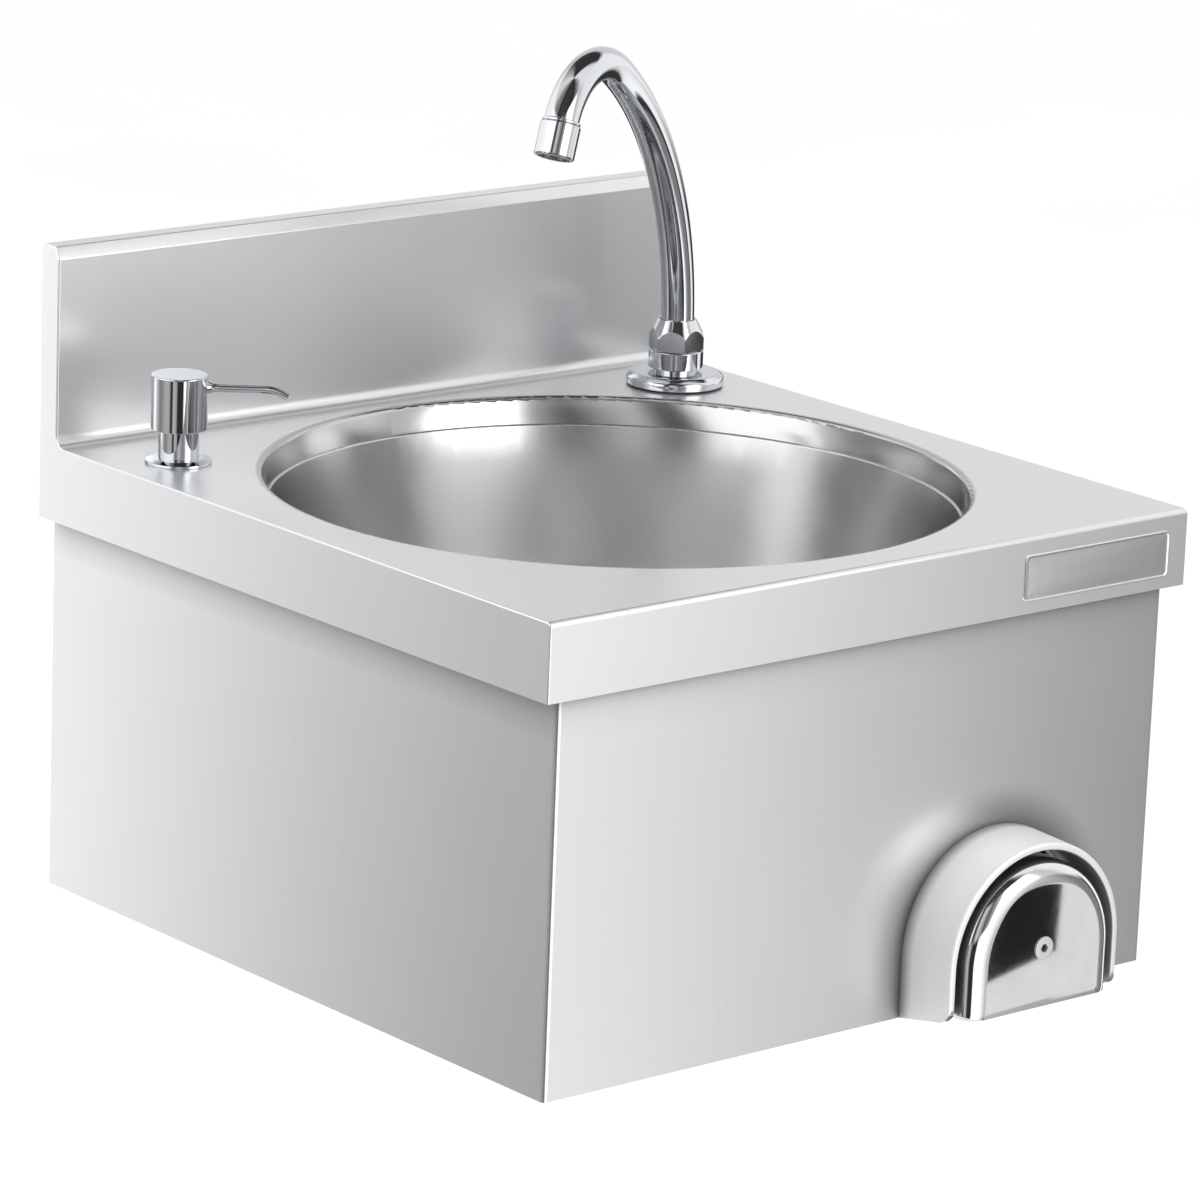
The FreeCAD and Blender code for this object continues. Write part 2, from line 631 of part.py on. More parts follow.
def make_bowl():
    body = new_body("bowl")
    lip = f"{DECK} - collar_depth"
    wall_top = f"({COLLAR_RADIUS} - bowl_ledge)"
    wall_foot = f"({COLLAR_RADIUS} - bowl_ledge - bowl_draft)"
    recess = "(waste_flange_radius + waste_clearance)"
    hole = "(waste_tube_radius + waste_clearance)"
    profile = [
        (f"{wall_top} + bowl_lip", lip),
        (wall_top, lip, "sheet"),
        (wall_foot, f"{BOWL_FLOOR} + floor_fall", "bowl_corner"),
        (recess, BOWL_FLOOR, "sheet"),
        (recess, WASTE_SEAT),
        (hole, WASTE_SEAT),
        (hole, f"{WASTE_SEAT} - sheet"),
        (f"{recess} + sheet", f"{WASTE_SEAT} - sheet"),
        (f"{recess} + sheet", f"{BOWL_FLOOR} - sheet"),
        (f"{wall_foot} + sheet", f"{BOWL_FLOOR} + floor_fall - sheet", "bowl_corner + sheet"),
        (f"{wall_top} + sheet", f"{lip} - sheet"),
        (f"{wall_top} + bowl_lip", f"{lip} - sheet"),
    ]
    turned(body, outline(body, "bowl_profile", "XZ_Plane", profile, BOWL_AXIS))
    return keep(body)


def at_bowl(piece, height=WASTE_SEAT):
    place(piece, 0, f"-{BOWL_AXIS}", height)
    return keep(piece)


def make_waste():
    """Waste fitting on the bowl's axis; heights count from the seat in the bowl."""
    flange_height = "waste_recess"
    flange = lathe("waste_flange", [
        ("waste_bore", "-waste_tube_length"),
        ("waste_tube_radius", "-waste_tube_length"),
        ("waste_tube_radius", "0"),
        ("waste_flange_radius", "0"),
        ("waste_flange_radius", flange_height, "sheet"),
        ("strainer_radius + running_gap", f"{flange_height} - sheet / 2"),
        ("strainer_radius + running_gap", "sheet / 2"),
        ("waste_bore", "sheet / 2"),
    ])
    at_bowl(flange)
    strainer = lathe("waste_strainer", [
        ("screw_thread + air_gap", "sheet / 2"),
        ("strainer_radius", "sheet / 2"),
        ("strainer_radius", "sheet * 1.5"),
        ("screw_thread + air_gap", "sheet * 1.5"),
    ])
    for count, radius in ((8, "strainer_radius * 0.42"), (12, "strainer_radius * 0.74")):
        first = circles(strainer, f"strainer_row{count}", "XY_Plane",
                        [(radius, "0", "strainer_hole")], "sheet * 1.5")
        cut = pocket(strainer, first, "sheet * 1.5")
        row = strainer.newObject("PartDesign::PolarPattern", f"strainer_ring{count}")
        row.Originals = [cut]
        row.Axis = (first, ["N_Axis"])
        row.Angle = 360
        row.Occurrences = count
        strainer.Tip = row
        doc.recompute()
    at_bowl(strainer)
    at_bowl(lathe("waste_screw", [
        ("0", "-waste_recess * 5"),
        ("screw_thread", "-waste_recess * 5"),
        ("screw_thread", "sheet * 1.5"),
        ("screw_radius", "sheet * 1.5"),
        ("screw_radius", "sheet * 2.5", "sheet / 2"),
        ("0", "sheet * 2.5"),
    ]))
    bridge = new_body("waste_bridge")
    bar = [
        ("-waste_bore", "-screw_thread * 1.6"),
        ("waste_bore", "-screw_thread * 1.6"),
        ("waste_bore", "screw_thread * 1.6"),
        ("-waste_bore", "screw_thread * 1.6"),
    ]
    pad(bridge, outline(bridge, "bridge_bar", "XY_Plane", bar, "-waste_recess * 4"), "waste_recess")
    round_bore = circles(bridge, "bridge_ends", "XY_Plane",
                         [("0", "0", "waste_bore * 2"), ("0", "0", "waste_bore")],
                         "-waste_recess * 3")
    pocket(bridge, round_bore, "waste_recess")
    screw_hole = circles(bridge, "bridge_hole", "XY_Plane", [("0", "0", "screw_thread")],
                         "-waste_recess * 3")
    pocket(bridge, screw_hole, "waste_recess")
    at_bowl(bridge)
    at_bowl(disc("waste_gasket", "waste_nut_radius - sheet", "waste_tube_radius",
                 "-sheet - waste_gasket", "-sheet"))
    nut = hexagon("waste_nut", "waste_nut_radius", "waste_tube_radius", "waste_nut_height")
    at_bowl(nut, f"{WASTE_SEAT} - sheet - waste_gasket - waste_nut_height")
    tube_end = "waste_tube_length"
    at_bowl(lathe("waste_slip_nut", [
        ("tail_radius + air_gap", f"-{tube_end} - coupling_height / 2"),
        ("waste_tube_radius + sheet * 2", f"-{tube_end} - coupling_height / 2", "sheet"),
        ("waste_tube_radius + sheet * 3", f"-{tube_end} + coupling_height / 2", "sheet"),
        ("waste_tube_radius", f"-{tube_end} + coupling_height / 2"),
        ("waste_tube_radius", f"-{tube_end} - sheet * 2"),
        ("tail_radius + air_gap", f"-{tube_end} - sheet * 4"),
    ]))
    at_bowl(lathe("waste_tailpiece", [
        ("tail_radius - sheet", f"-{tube_end} - tail_length"),
        ("tail_radius", f"-{tube_end} - tail_length"),
        ("tail_radius", f"-{tube_end} - coupling_height / 2 - air_gap"),
        ("tail_radius + air_gap / 2", f"-{tube_end} - coupling_height / 2 - air_gap"),
        ("tail_radius + air_gap / 2", f"-{tube_end} - sheet * 1.5"),
        ("waste_tube_radius - sheet / 2", f"-{tube_end} - sheet * 1.5"),
        ("waste_tube_radius - sheet / 2", f"-{tube_end}"),
        ("tail_radius - sheet", f"-{tube_end}"),
    ]))


# ---- tap ----------------------------------------------------------------------------------

def at_tap(piece, height=DECK, turn=None):
    place(piece, TAP_SIDE, "-tap_setback", height, turn)
    return keep(piece)


def seal_groove(top):
    """Corners of a square groove for a rubber ring in the body's bore, from the top down."""
    depth = "spout_radius + running_gap * 2 + seal_wire * 2"
    return [
        ("spout_radius + running_gap", top),
        (depth, top),
        (depth, f"{top} - seal_wire * 2"),
        ("spout_radius + running_gap", f"{top} - seal_wire * 2"),
    ]


def make_tap_base():
    """Everything of the tap that stands still; heights count from the deck."""
    at_tap(disc("tap_seal", "tap_rose_radius - seal_gap", "tap_hole", "0", "seal_gap"))
    at_tap(lathe("tap_rose", [
        ("tap_neck + running_gap", "seal_gap"),
        ("tap_rose_radius", "seal_gap"),
        ("tap_rose_radius", "tap_rose_height - seal_gap", "tap_rose_height / 3"),
        ("tap_neck + running_gap", "tap_rose_height + seal_gap"),
    ]))
    at_tap(lathe("tap_body", [
        ("tap_bore", "-tap_shank_length"),
        ("tap_shank", "-tap_shank_length"),
        ("tap_shank", "seal_gap"),
        ("tap_neck", "seal_gap"),
        ("tap_neck", "tap_ring_bottom"),
        ("tap_ring_radius", "tap_ring_bottom", "air_gap"),
        ("tap_ring_radius", "tap_ring_top", "air_gap"),
        (STUB_RADIUS, "tap_ring_top"),
        (STUB_RADIUS, "tap_ring_top + stub_height"),
        ("spout_radius + running_gap", "tap_ring_top + stub_height"),
        *seal_groove("tap_ring_top"),
        *seal_groove("tap_ring_top - seal_wire * 4"),
        ("spout_radius + running_gap", "tap_ring_bottom - seal_gap"),
        ("tap_bore", "tap_ring_bottom - seal_gap"),
    ]))
    rings = []
    for level in ("tap_ring_top", "tap_ring_top - seal_wire * 4"):
        ring = doc.addObject("Part::Torus", f"spout_seal_ring{len(rings) + 1}")
        ring.setExpression("Radius1", bound("spout_radius + running_gap * 2 + seal_wire"))
        ring.setExpression("Radius2", bound("seal_wire"))
        place(ring, "0", "0", f"{level} - seal_wire")
        rings.append(ring)
    at_tap(group("spout_seals", rings))
    under = f"{DECK} - sheet"
    at_tap(disc("tap_fibre_washer", "clamp_washer - seal_gap", "tap_shank",
                "-sheet - seal_gap * 2", "-sheet"))
    at_tap(disc("tap_clamp_washer", "clamp_washer", "tap_shank",
                "-sheet - seal_gap * 4", "-sheet - seal_gap * 2"))
    nut = hexagon("tap_lock_nut", "lock_nut", "tap_shank", "lock_nut_height")
    at_tap(nut, f"{under} - seal_gap * 4 - lock_nut_height")
    nut = lathe("spout_nut", [
        ("spout_radius + air_gap", "0"),
        ("spout_nut_flats / cos(30)", "0", "air_gap"),
        ("spout_nut_flats / cos(30)", "spout_nut_height - spout_nut_cone"),
        ("spout_radius + seal_gap * 1.2", "spout_nut_height"),
        ("spout_radius + air_gap", "spout_nut_height"),
    ])
    flats = six_sides(nut, "spout_nut_sides", "spout_nut_flats", "spout_nut_flats * 2")
    pocket(nut, flats, "spout_nut_height", reverse=True)
    recess = circles(nut, "spout_nut_recess", "XY_Plane", [("0", "0", STUB_RADIUS)])
    pocket(nut, recess, "nut_recess", reverse=True)
    at_tap(nut, f"{DECK} + tap_ring_top")


def swan_neck(start):
    """Points, directions and length of the spout's centreline, in its own upright plane."""
    sweep = math.radians(value("spout_sweep_angle"))
    crook = math.radians(value("spout_crook_angle"))
    long_radius = value("spout_sweep_radius")
    short_radius = value("spout_crook_radius")
    rise = value(f"spout_start - ({start})")
    foot = Vector(0, 0, value(start))
    bend_start = Vector(0, 0, foot.z + rise)

    def on_arc(centre, radius, angle):
        return centre + Vector(-radius * math.cos(angle), 0, radius * math.sin(angle))
    long_centre = bend_start + Vector(long_radius, 0, 0)
    join = on_arc(long_centre, long_radius, sweep)
    toward_centre = (long_centre - join).normalize()
    short_centre = join + toward_centre * short_radius
    tip = on_arc(short_centre, short_radius, sweep + crook)
    path = [
        Part.LineSegment(foot, bend_start).toShape(),
        Part.Arc(bend_start, on_arc(long_centre, long_radius, sweep / 2), join).toShape(),
        Part.Arc(join, on_arc(short_centre, short_radius, sweep + crook / 2), tip).toShape(),
    ]
    heading = Vector(math.sin(sweep + crook), 0, math.cos(sweep + crook))
    return Part.Wire(path), tip, heading


def tube_along(path, outer, inner):
    """A round tube along a wire of straight runs and arcs, closed at neither end."""
    start = path.Vertexes[0].Point
    direction = path.Edges[0].tangentAt(path.Edges[0].FirstParameter)
    shells = []
    for radius in (outer, inner):
        ring = Part.Wire(Part.Circle(start, direction, radius).toShape())
        shells.append(path.makePipeShell([ring], True, False))
    return shells[0].cut(shells[1])


def make_spout():
    """Swan neck, its seals and the aerator: these turn together."""
    upright = Placement(Vector(value(TAP_SIDE), -value("tap_setback"), value(DECK)),
                        Rotation(Vector(0, 0, 1), value("spout_heading")))
    foot = "tap_ring_bottom"
    path, tip, heading = swan_neck(foot)
    tube = doc.addObject("Part::Feature", "spout_tube")
    bore = value("spout_radius - spout_wall")
    neck = tube_along(path, value("spout_radius"), bore)
    collar_foot = Vector(0, 0, value("tap_ring_top + stub_height + air_gap"))
    collar_height = value("nut_recess - stub_height - air_gap * 2")
    collar = Part.makeCylinder(value(f"{STUB_RADIUS} - air_gap"), collar_height, collar_foot)
    collar = collar.cut(Part.makeCylinder(bore, collar_height, collar_foot))
    tube.Shape = neck.fuse(collar).removeSplitter()
    tube.Placement = upright
    keep(tube)
    tilt = Rotation(Vector(0, 0, 1), heading)
    outlet = Placement(upright.multVec(tip), upright.Rotation.multiply(tilt))
    housing = lathe("aerator_housing", [
        ("spout_radius - spout_wall * 2", "spout_wall"),
        ("aerator_bore + sheet", "spout_wall"),
        ("aerator_bore + sheet", "aerator_length - sheet * 1.5"),
        ("aerator_bore", "aerator_length - sheet * 1.5"),
        ("aerator_bore", "aerator_length"),
        ("aerator_radius", "aerator_length", "sheet / 2"),
        ("aerator_radius", "0", "sheet / 2"),
        ("spout_radius - spout_wall * 2", "0"),
    ])
    housing.Placement = outlet
    keep(housing)
    cartridge = lathe("aerator_cartridge", [
        ("0", "aerator_length / 2"),
        ("aerator_bore + sheet", "aerator_length / 2"),
        ("aerator_bore + sheet", "aerator_length - sheet * 1.5"),
        ("0", "aerator_length - sheet * 1.5"),
    ])
    for count, radius in ((6, "aerator_bore * 0.34"), (12, "aerator_bore * 0.7")):
        first = circles(cartridge, f"jets_row{count}", "XY_Plane",
                        [(radius, "0", "cartridge_hole")], "aerator_length")
        cut = pocket(cartridge, first, "aerator_length")
        row = cartridge.newObject("PartDesign::PolarPattern", f"jets_ring{count}")
        row.Originals = [cut]
        row.Axis = (first, ["N_Axis"])
        row.Angle = 360
        row.Occurrences = count
        cartridge.Tip = row
        doc.recompute()
    cartridge.Placement = outlet
    keep(cartridge)


# ---- soap pump ----------------------------------------------------------------------------

def at_pump(piece, height=DECK, turn=None):
    place(piece, f"-{PUMP_SIDE}", "-pump_setback", height, turn)
    return keep(piece)


def make_soap_pump():
    """Deck-mounted soap pump; heights count from the deck."""
    at_pump(lathe("pump_collar", [
        ("cylinder_radius + running_gap", "-pump_shank_length"),
        ("pump_shank", "-pump_shank_length"),
        ("pump_shank", "0"),
        ("pump_flange_radius", "0"),
        ("pump_flange_radius", "pump_flange_height / 2", "air_gap"),
        ("pump_neck_radius + running_gap", "pump_flange_height"),
        ("pump_neck_radius + running_gap", "0"),
        ("cylinder_radius + running_gap", "0"),
    ]))
    at_pump(lathe("pump_neck", [
        ("rod_radius + running_gap", "0"),
        ("pump_neck_radius", "0"),
        ("pump_neck_radius", "pump_neck_top", "air_gap"),
        ("rod_radius + running_gap", "pump_neck_top"),
    ]))
    at_pump(disc("pump_gasket", "pump_flange_radius", "pump_shank",
                 "-sheet - seal_gap", "-sheet"))
    nut = hexagon("pump_nut", "pump_flange_radius + seal_gap", "pump_shank", "lock_nut_height")
    at_pump(nut, f"{UNDER_DECK} - seal_gap - lock_nut_height")
    at_pump(lathe("pump_cylinder", [
        ("tube_radius", "-cylinder_length"),
        ("cylinder_radius / 2", "-cylinder_length"),
        ("cylinder_radius", "-cylinder_length + cylinder_radius / 2"),
        ("cylinder_radius", "0"),
        ("cylinder_bore", "0"),
        ("cylinder_bore", "-cylinder_length + cylinder_radius"),
        ("tube_radius", "-cylinder_length + cylinder_radius"),
    ]))
    rod_top = "head_top - head_roof"
    head_bottom = "pump_flange_height + head_travel + head_stop"
    at_pump(lathe("pump_rod", [
        ("rod_bore", "-piston_drop - piston_height"),
        ("cylinder_bore - air_gap", "-piston_drop - piston_height"),
        ("cylinder_bore - air_gap", "-piston_drop"),
        ("rod_radius", "-piston_drop"),
        ("rod_radius", rod_top),
        ("rod_bore", rod_top),
    ]))
    spring_top = "-piston_drop - piston_height"
    spring_height = "(cylinder_length - cylinder_radius - piston_drop - piston_height)"
    coil = spring("pump_spring", "(cylinder_bore - spring_wire * 1.6)", "spring_wire",
                  "spring_turns", spring_height)
    at_pump(coil, f"{DECK} + ({spring_top}) - {spring_height} + spring_wire")
    head = lathe("pump_head", [
        ("rod_radius + running_gap", "head_top - head_roof - pump_flange_height"),
        ("rod_radius + head_wall", "head_top - head_roof - pump_flange_height"),
        ("rod_radius + head_wall", "head_top - head_roof"),
        ("head_radius - head_wall", "head_top - head_roof"),
        ("head_radius - head_wall", head_bottom),
        ("head_radius", head_bottom, "air_gap"),
        ("head_radius", "head_top", "air_gap * 2"),
        ("0", "head_top"),
        ("0", "head_top - head_roof"),
        ("rod_radius + running_gap", "head_top - head_roof"),
    ])
    root = circles(head, "nozzle_socket", "YZ_Plane",
                   [("0", "head_top - nozzle_drop", "nozzle_radius")], "head_radius - head_wall * 2")
    pocket(head, root, "head_wall * 3", reverse=True)
    aim = Rotation(Vector(0, 0, 1), value("nozzle_heading"))
    at_pump(head, DECK, aim)
    make_nozzle(aim)
    at_pump(disc("dip_tube", "tube_radius", "tube_bore",
                 "-cylinder_length - bottle_height / 2", "-cylinder_length + cylinder_radius / 2"))
    make_bottle()


def make_nozzle(aim):
    """Bent outlet pipe with a cone where it leaves the head."""
    base = Vector(-value(PUMP_SIDE), -value("pump_setback"), value(DECK))
    level = value("head_top - nozzle_drop")
    start = Vector(value("head_radius - head_wall"), 0, level)
    bend_start = Vector(value("nozzle_straight"), 0, level)
    radius = value("nozzle_bend")
    turn = math.radians(value("nozzle_turn"))

    def on_bend(angle):
        return bend_start + Vector(radius * math.sin(angle), 0, radius * (math.cos(angle) - 1))
    path = Part.Wire([
        Part.LineSegment(start, bend_start).toShape(),
        Part.Arc(bend_start, on_bend(turn / 2), on_bend(turn)).toShape(),
    ])
    pipe = tube_along(path, value("nozzle_radius"), value("nozzle_bore"))
    face = value("head_radius")
    cone_length = value("nozzle_root")
    sag = face - math.sqrt(face ** 2 - value("nozzle_root") ** 2)
    cone = Part.makeCone(value("nozzle_root"), value("nozzle_radius"), cone_length + sag,
                         Vector(face - sag, 0, level), Vector(1, 0, 0))
    cone = cone.cut(Part.makeCylinder(face, value("head_top")))
    cone = cone.cut(Part.makeCylinder(value("nozzle_bore"), cone_length * 3,
                                      Vector(face - cone_length, 0, level), Vector(1, 0, 0)))
    nozzle = doc.addObject("Part::Feature", "pump_nozzle")
    nozzle.Shape = pipe.fuse(cone).removeSplitter()
    nozzle.Placement = Placement(base, aim)
    keep(nozzle)


def make_bottle():
    """Slim bottle that screws on below the deck, clear of skirt and bowl."""
    top = "-sheet - seal_gap - lock_nut_height - air_gap"
    neck_foot = f"{top} - bottle_neck_height"
    bottom = f"{top} - bottle_height"
    at_pump(lathe("soap_bottle", [
        ("0", bottom),
        ("bottle_radius", bottom, "bottle_wall * 3"),
        ("bottle_radius", f"{neck_foot} - bottle_neck_height / 2", "bottle_wall * 4"),
        ("bottle_neck", neck_foot),
        ("bottle_neck", top),
        ("pump_shank", top),
        ("pump_shank", f"{neck_foot} + bottle_wall"),
        ("bottle_neck - bottle_wall", f"{neck_foot} - bottle_wall"),
        ("bottle_radius - bottle_wall", f"{neck_foot} - bottle_neck_height / 2 - bottle_wall",
         "bottle_wall * 3"),
        ("bottle_radius - bottle_wall", f"{bottom} + bottle_wall", "bottle_wall * 2"),
        ("0", f"{bottom} + bottle_wall"),
    ]))


# ---- knee valve ---------------------------------------------------------------------------

OUTWARD = Rotation(Vector(1, 0, 0), 90)  # local +Z points out of the front panel, local +Y up


def at_knee(piece, level=STEM_LEVEL, out="0"):
    place(piece, KNEE_SIDE, f"-{SKIRT_FRONT} - ({out})", level, OUTWARD)
    return keep(piece)


def guard_screw_places():
    """The guard's four fixing points, from the arch's centre."""
    ring = "(guard_radius - guard_wall - guard_flange / 2)"
    return [
        (f"-{ring}", "-knee_rise / 2"),
        (f"-{ring} * cos(50)", f"{ring} * sin(50)"),
        (f"{ring} * cos(50)", f"{ring} * sin(50)"),
        (ring, "-knee_rise / 2"),
    ]


def make_guard():
    """Arched guard round the knee plate, open in front and below."""
    body = new_body("knee_guard")
    back = arch(body, "guard_back", "XY_Plane", "guard_radius", "-knee_rise")
    front = arch(body, "guard_front", "XY_Plane", "guard_front_radius", "-knee_rise", "guard_depth")
    hull = body.newObject("PartDesign::AdditiveLoft", "guard_hull")
    hull.Profile = back
    hull.Sections = [front]
    hull.Ruled = True
    doc.recompute()
    mouth = arch(body, "guard_mouth", "XY_Plane", "guard_front_radius - guard_wall",
                 "-knee_rise * 2", "guard_floor")
    pocket(body, mouth, "guard_depth", reverse=True)
    window = arch(body, "guard_window", "XY_Plane",
                  "guard_front_radius - guard_wall - guard_flange", "-knee_rise * 2")
    pocket(body, window, "guard_depth", reverse=True)
    depth = value("guard_depth")
    outer = value("guard_front_radius")

    def front_outer_edge(edge):
        flat = abs(edge.BoundBox.ZMin - depth) < 0.01 and abs(edge.BoundBox.ZMax - depth) < 0.01
        widest = abs(max(abs(edge.BoundBox.XMin), abs(edge.BoundBox.XMax)) - outer) < 0.01
        return flat and widest and edge.Length > value("guard_wall") * 2
    round_edges(body, "guard_edge", front_outer_edge)
    toe = "-knee_rise + guard_slope"
    feet = [
        ("-knee_rise - 1", "0"),
        ("-knee_rise", "0"),
        (toe, "guard_depth", "guard_toe"),
        (f"{toe} + guard_toe * 2", "guard_depth"),
        (f"{toe} + guard_toe * 2", "guard_depth + 1"),
        ("-knee_rise - 1", "guard_depth + 1"),
    ]
    slope = outline(body, "guard_feet", "YZ_Plane", feet)
    pocket(body, slope, "guard_radius * 3", both_ways=True)
    screws = []
    for x, y in guard_screw_places():
        screws.append((x, y, "guard_screw"))
    pocket(body, circles(body, "guard_screw_holes", "XY_Plane", screws), "guard_floor", reverse=True)
    return at_knee(body, KNEE_LEVEL)


def make_knee_plate():
    """Drawn stainless plate that the knee pushes: arched face, rolled edge, open foot."""
    body = new_body("knee_plate")

    def arch_edge(front, radius):
        """Picks the long edge of an arch's front face out of the solid's edges."""
        def picked(edge):
            box = edge.BoundBox
            level = abs(box.ZMin - front) < 0.01 and abs(box.ZMax - front) < 0.01
            widest = abs(max(abs(box.XMin), abs(box.XMax)) - radius) < 0.01
            return level and widest and box.YLength > 1
        return picked
    back = "(guard_floor + cap_travel + loose_gap * 2)"
    foot = "(-knee_rise + cap_gap)"
    face = arch(body, "plate_outside", "XY_Plane", "cap_radius", foot, back)
    pad(body, face, f"cap_front - {back}")
    round_edges(body, "cap_edge", arch_edge(value("cap_front"), value("cap_radius")))
    hollow = new_body("knee_plate_hollow")
    inner_radius = "cap_radius - cap_wall"
    inner_front = "cap_front - cap_wall"
    inner_foot = f"{foot} - cap_wall * 4"
    pad(hollow, arch(hollow, "plate_inside", "XY_Plane", inner_radius, inner_foot, back),
        f"{inner_front} - {back}")
    inner_edge = arch_edge(value(inner_front), value(inner_radius))
    round_edges(hollow, "cap_edge - cap_wall", inner_edge)
    shell = doc.addObject("Part::Cut", "knee_plate_shell")
    shell.Base = body
    shell.Tool = hollow
    boss = doc.addObject("Part::Cylinder", "knee_plate_boss")
    boss.setExpression("Radius", bound("cap_boss"))
    boss.setExpression("Height", bound("cap_wall * 3"))
    place(boss, "0", "stem_rise", "cap_front - cap_wall * 4")
    with_boss = doc.addObject("Part::Fuse", "knee_plate_with_boss")
    with_boss.Base = shell
    with_boss.Tool = boss
    bore = doc.addObject("Part::Cylinder", "knee_plate_bore")
    bore.setExpression("Radius", bound("screw_thread"))
    bore.setExpression("Height", bound("cap_front"))
    place(bore, "0", "stem_rise", "0")
    sink = doc.addObject("Part::Cone", "knee_plate_countersink")
    sink.setExpression("Radius1", bound("screw_thread"))
    sink.setExpression("Radius2", bound("screw_radius"))
    sink.setExpression("Height", bound("screw_radius - screw_thread"))
    place(sink, "0", "stem_rise", "cap_front - screw_radius + screw_thread")
    holes = doc.addObject("Part::Fuse", "knee_plate_holes")
    holes.Base = bore
    holes.Tool = sink
    plate = doc.addObject("Part::Cut", "knee_plate_finished")
    plate.Base = with_boss
    plate.Tool = holes
    body.Label = "knee_plate_outside"
    plate.Label = "knee_plate"
    return at_knee(plate, KNEE_LEVEL)


def make_knee_screw():
    """Countersunk screw with a hexagon socket."""
    body = lathe("knee_screw", [
        ("0", "-screw_length"),
        ("screw_thread", "-screw_length"),
        ("screw_thread", "-screw_radius + screw_thread"),
        ("screw_radius", "0"),
        ("screw_radius", "screw_rim", "screw_rim / 2"),
        ("0", "screw_rim"),
    ])
    socket = six_sides(body, "screw_socket_sides", "screw_socket", offset="screw_rim")
    pocket(body, socket, "screw_socket * 1.2")
    return at_knee(body, STEM_LEVEL, "cap_front")


def make_valve():
    """Self-closing valve behind the front panel; heights count outward from the panel."""
    stem_front = "cap_front - cap_wall * 4"
    at_knee(lathe("valve_stem", [
        ("0", "-stem_tail - sheet * 4"),
        ("valve_bore - air_gap", "-stem_tail - sheet * 4"),
        ("valve_bore - air_gap", "-stem_tail"),
        ("stem_radius", "-stem_tail"),
        ("stem_radius", stem_front),
        ("screw_thread", stem_front),
        ("screw_thread", "cap_front - screw_length"),
        ("0", "cap_front - screw_length"),
    ]))
    spring_seat = "nose_length"
    spring_room = f"({stem_front} - nose_length)"
    coil = spring("return_spring", "spring_radius", "spring_wire", "spring_turns", spring_room)
    at_knee(coil, STEM_LEVEL, f"{spring_seat} + spring_wire")
    body = lathe("valve_body", [
        ("port_bore", "-sheet - valve_length - port_length"),
        ("port_radius", "-sheet - valve_length - port_length"),
        ("port_radius", "-sheet - valve_length"),
        ("valve_radius", "-sheet - valve_length", "sheet"),
        ("valve_radius", "-sheet", "sheet / 2"),
        ("nose_radius", "-sheet"),
        ("nose_radius", "nose_length", "sheet / 2"),
        ("stem_radius + running_gap", "nose_length"),
        ("stem_radius + running_gap", "-sheet * 4"),
        ("valve_bore", "-sheet * 4"),
        ("valve_bore", "-sheet - valve_length + sheet * 3"),
        ("port_bore", "-sheet - valve_length + sheet * 3"),
    ])
    side = circles(body, "valve_outlet", "YZ_Plane", [("0", OUTLET_DEPTH, "outlet_radius")],
                   "valve_bore + sheet")
    pad(body, side, "valve_radius + outlet_length - valve_bore - sheet")
    waterway = circles(body, "valve_outlet_bore", "YZ_Plane", [("0", OUTLET_DEPTH, "pipe_bore")])
    pocket(body, waterway, "valve_radius + outlet_length", reverse=True)
    at_knee(body)
    nut = hexagon("valve_nut", "knee_nut", "nose_radius", "knee_nut_height")
    at_knee(nut)


def make_guard_screws():
    """Four screws from inside the skirt into the guard's flange."""
    screws = []
    for x, y in guard_screw_places():
        shank = doc.addObject("Part::Cylinder", f"guard_screw_shank{len(screws) + 1}")
        shank.setExpression("Radius", bound("guard_screw"))
        shank.setExpression("Height", bound("sheet + guard_floor"))
        place(shank, x, y, "-sheet")
        head = doc.addObject("Part::Cylinder", f"guard_screw_head{len(screws) + 1}")
        head.setExpression("Radius", bound("guard_screw_head"))
        head.setExpression("Height", bound("guard_screw * 1.2"))
        place(head, x, y, "-sheet - guard_screw * 1.2")
        screw = doc.addObject("Part::Fuse", f"guard_screw{len(screws) + 1}")
        screw.Base = shank
        screw.Tool = head
        screws.append(screw)
    at_knee(group("guard_screws", screws), KNEE_LEVEL)


# ---- feed pipe between valve and tap ------------------------------------------------------

def rounded_path(points, radius):
    """Straight runs joined by tangent arcs."""
    edges = []
    at = points[0]
    for before, corner, after in zip(points, points[1:], points[2:]):
        back = (before - corner).normalize()
        ahead = (after - corner).normalize()
        half = back.getAngle(ahead) / 2
        reach = radius / math.tan(half)
        middle = (back + ahead).normalize()
        depth = radius / math.sin(half) - radius
        entry = corner + back * reach
        leave = corner + ahead * reach
        edges.append(Part.LineSegment(at, entry).toShape())
        edges.append(Part.Arc(entry, corner + middle * depth, leave).toShape())
        at = leave
    edges.append(Part.LineSegment(at, points[-1]).toShape())
    return Part.Wire(edges)


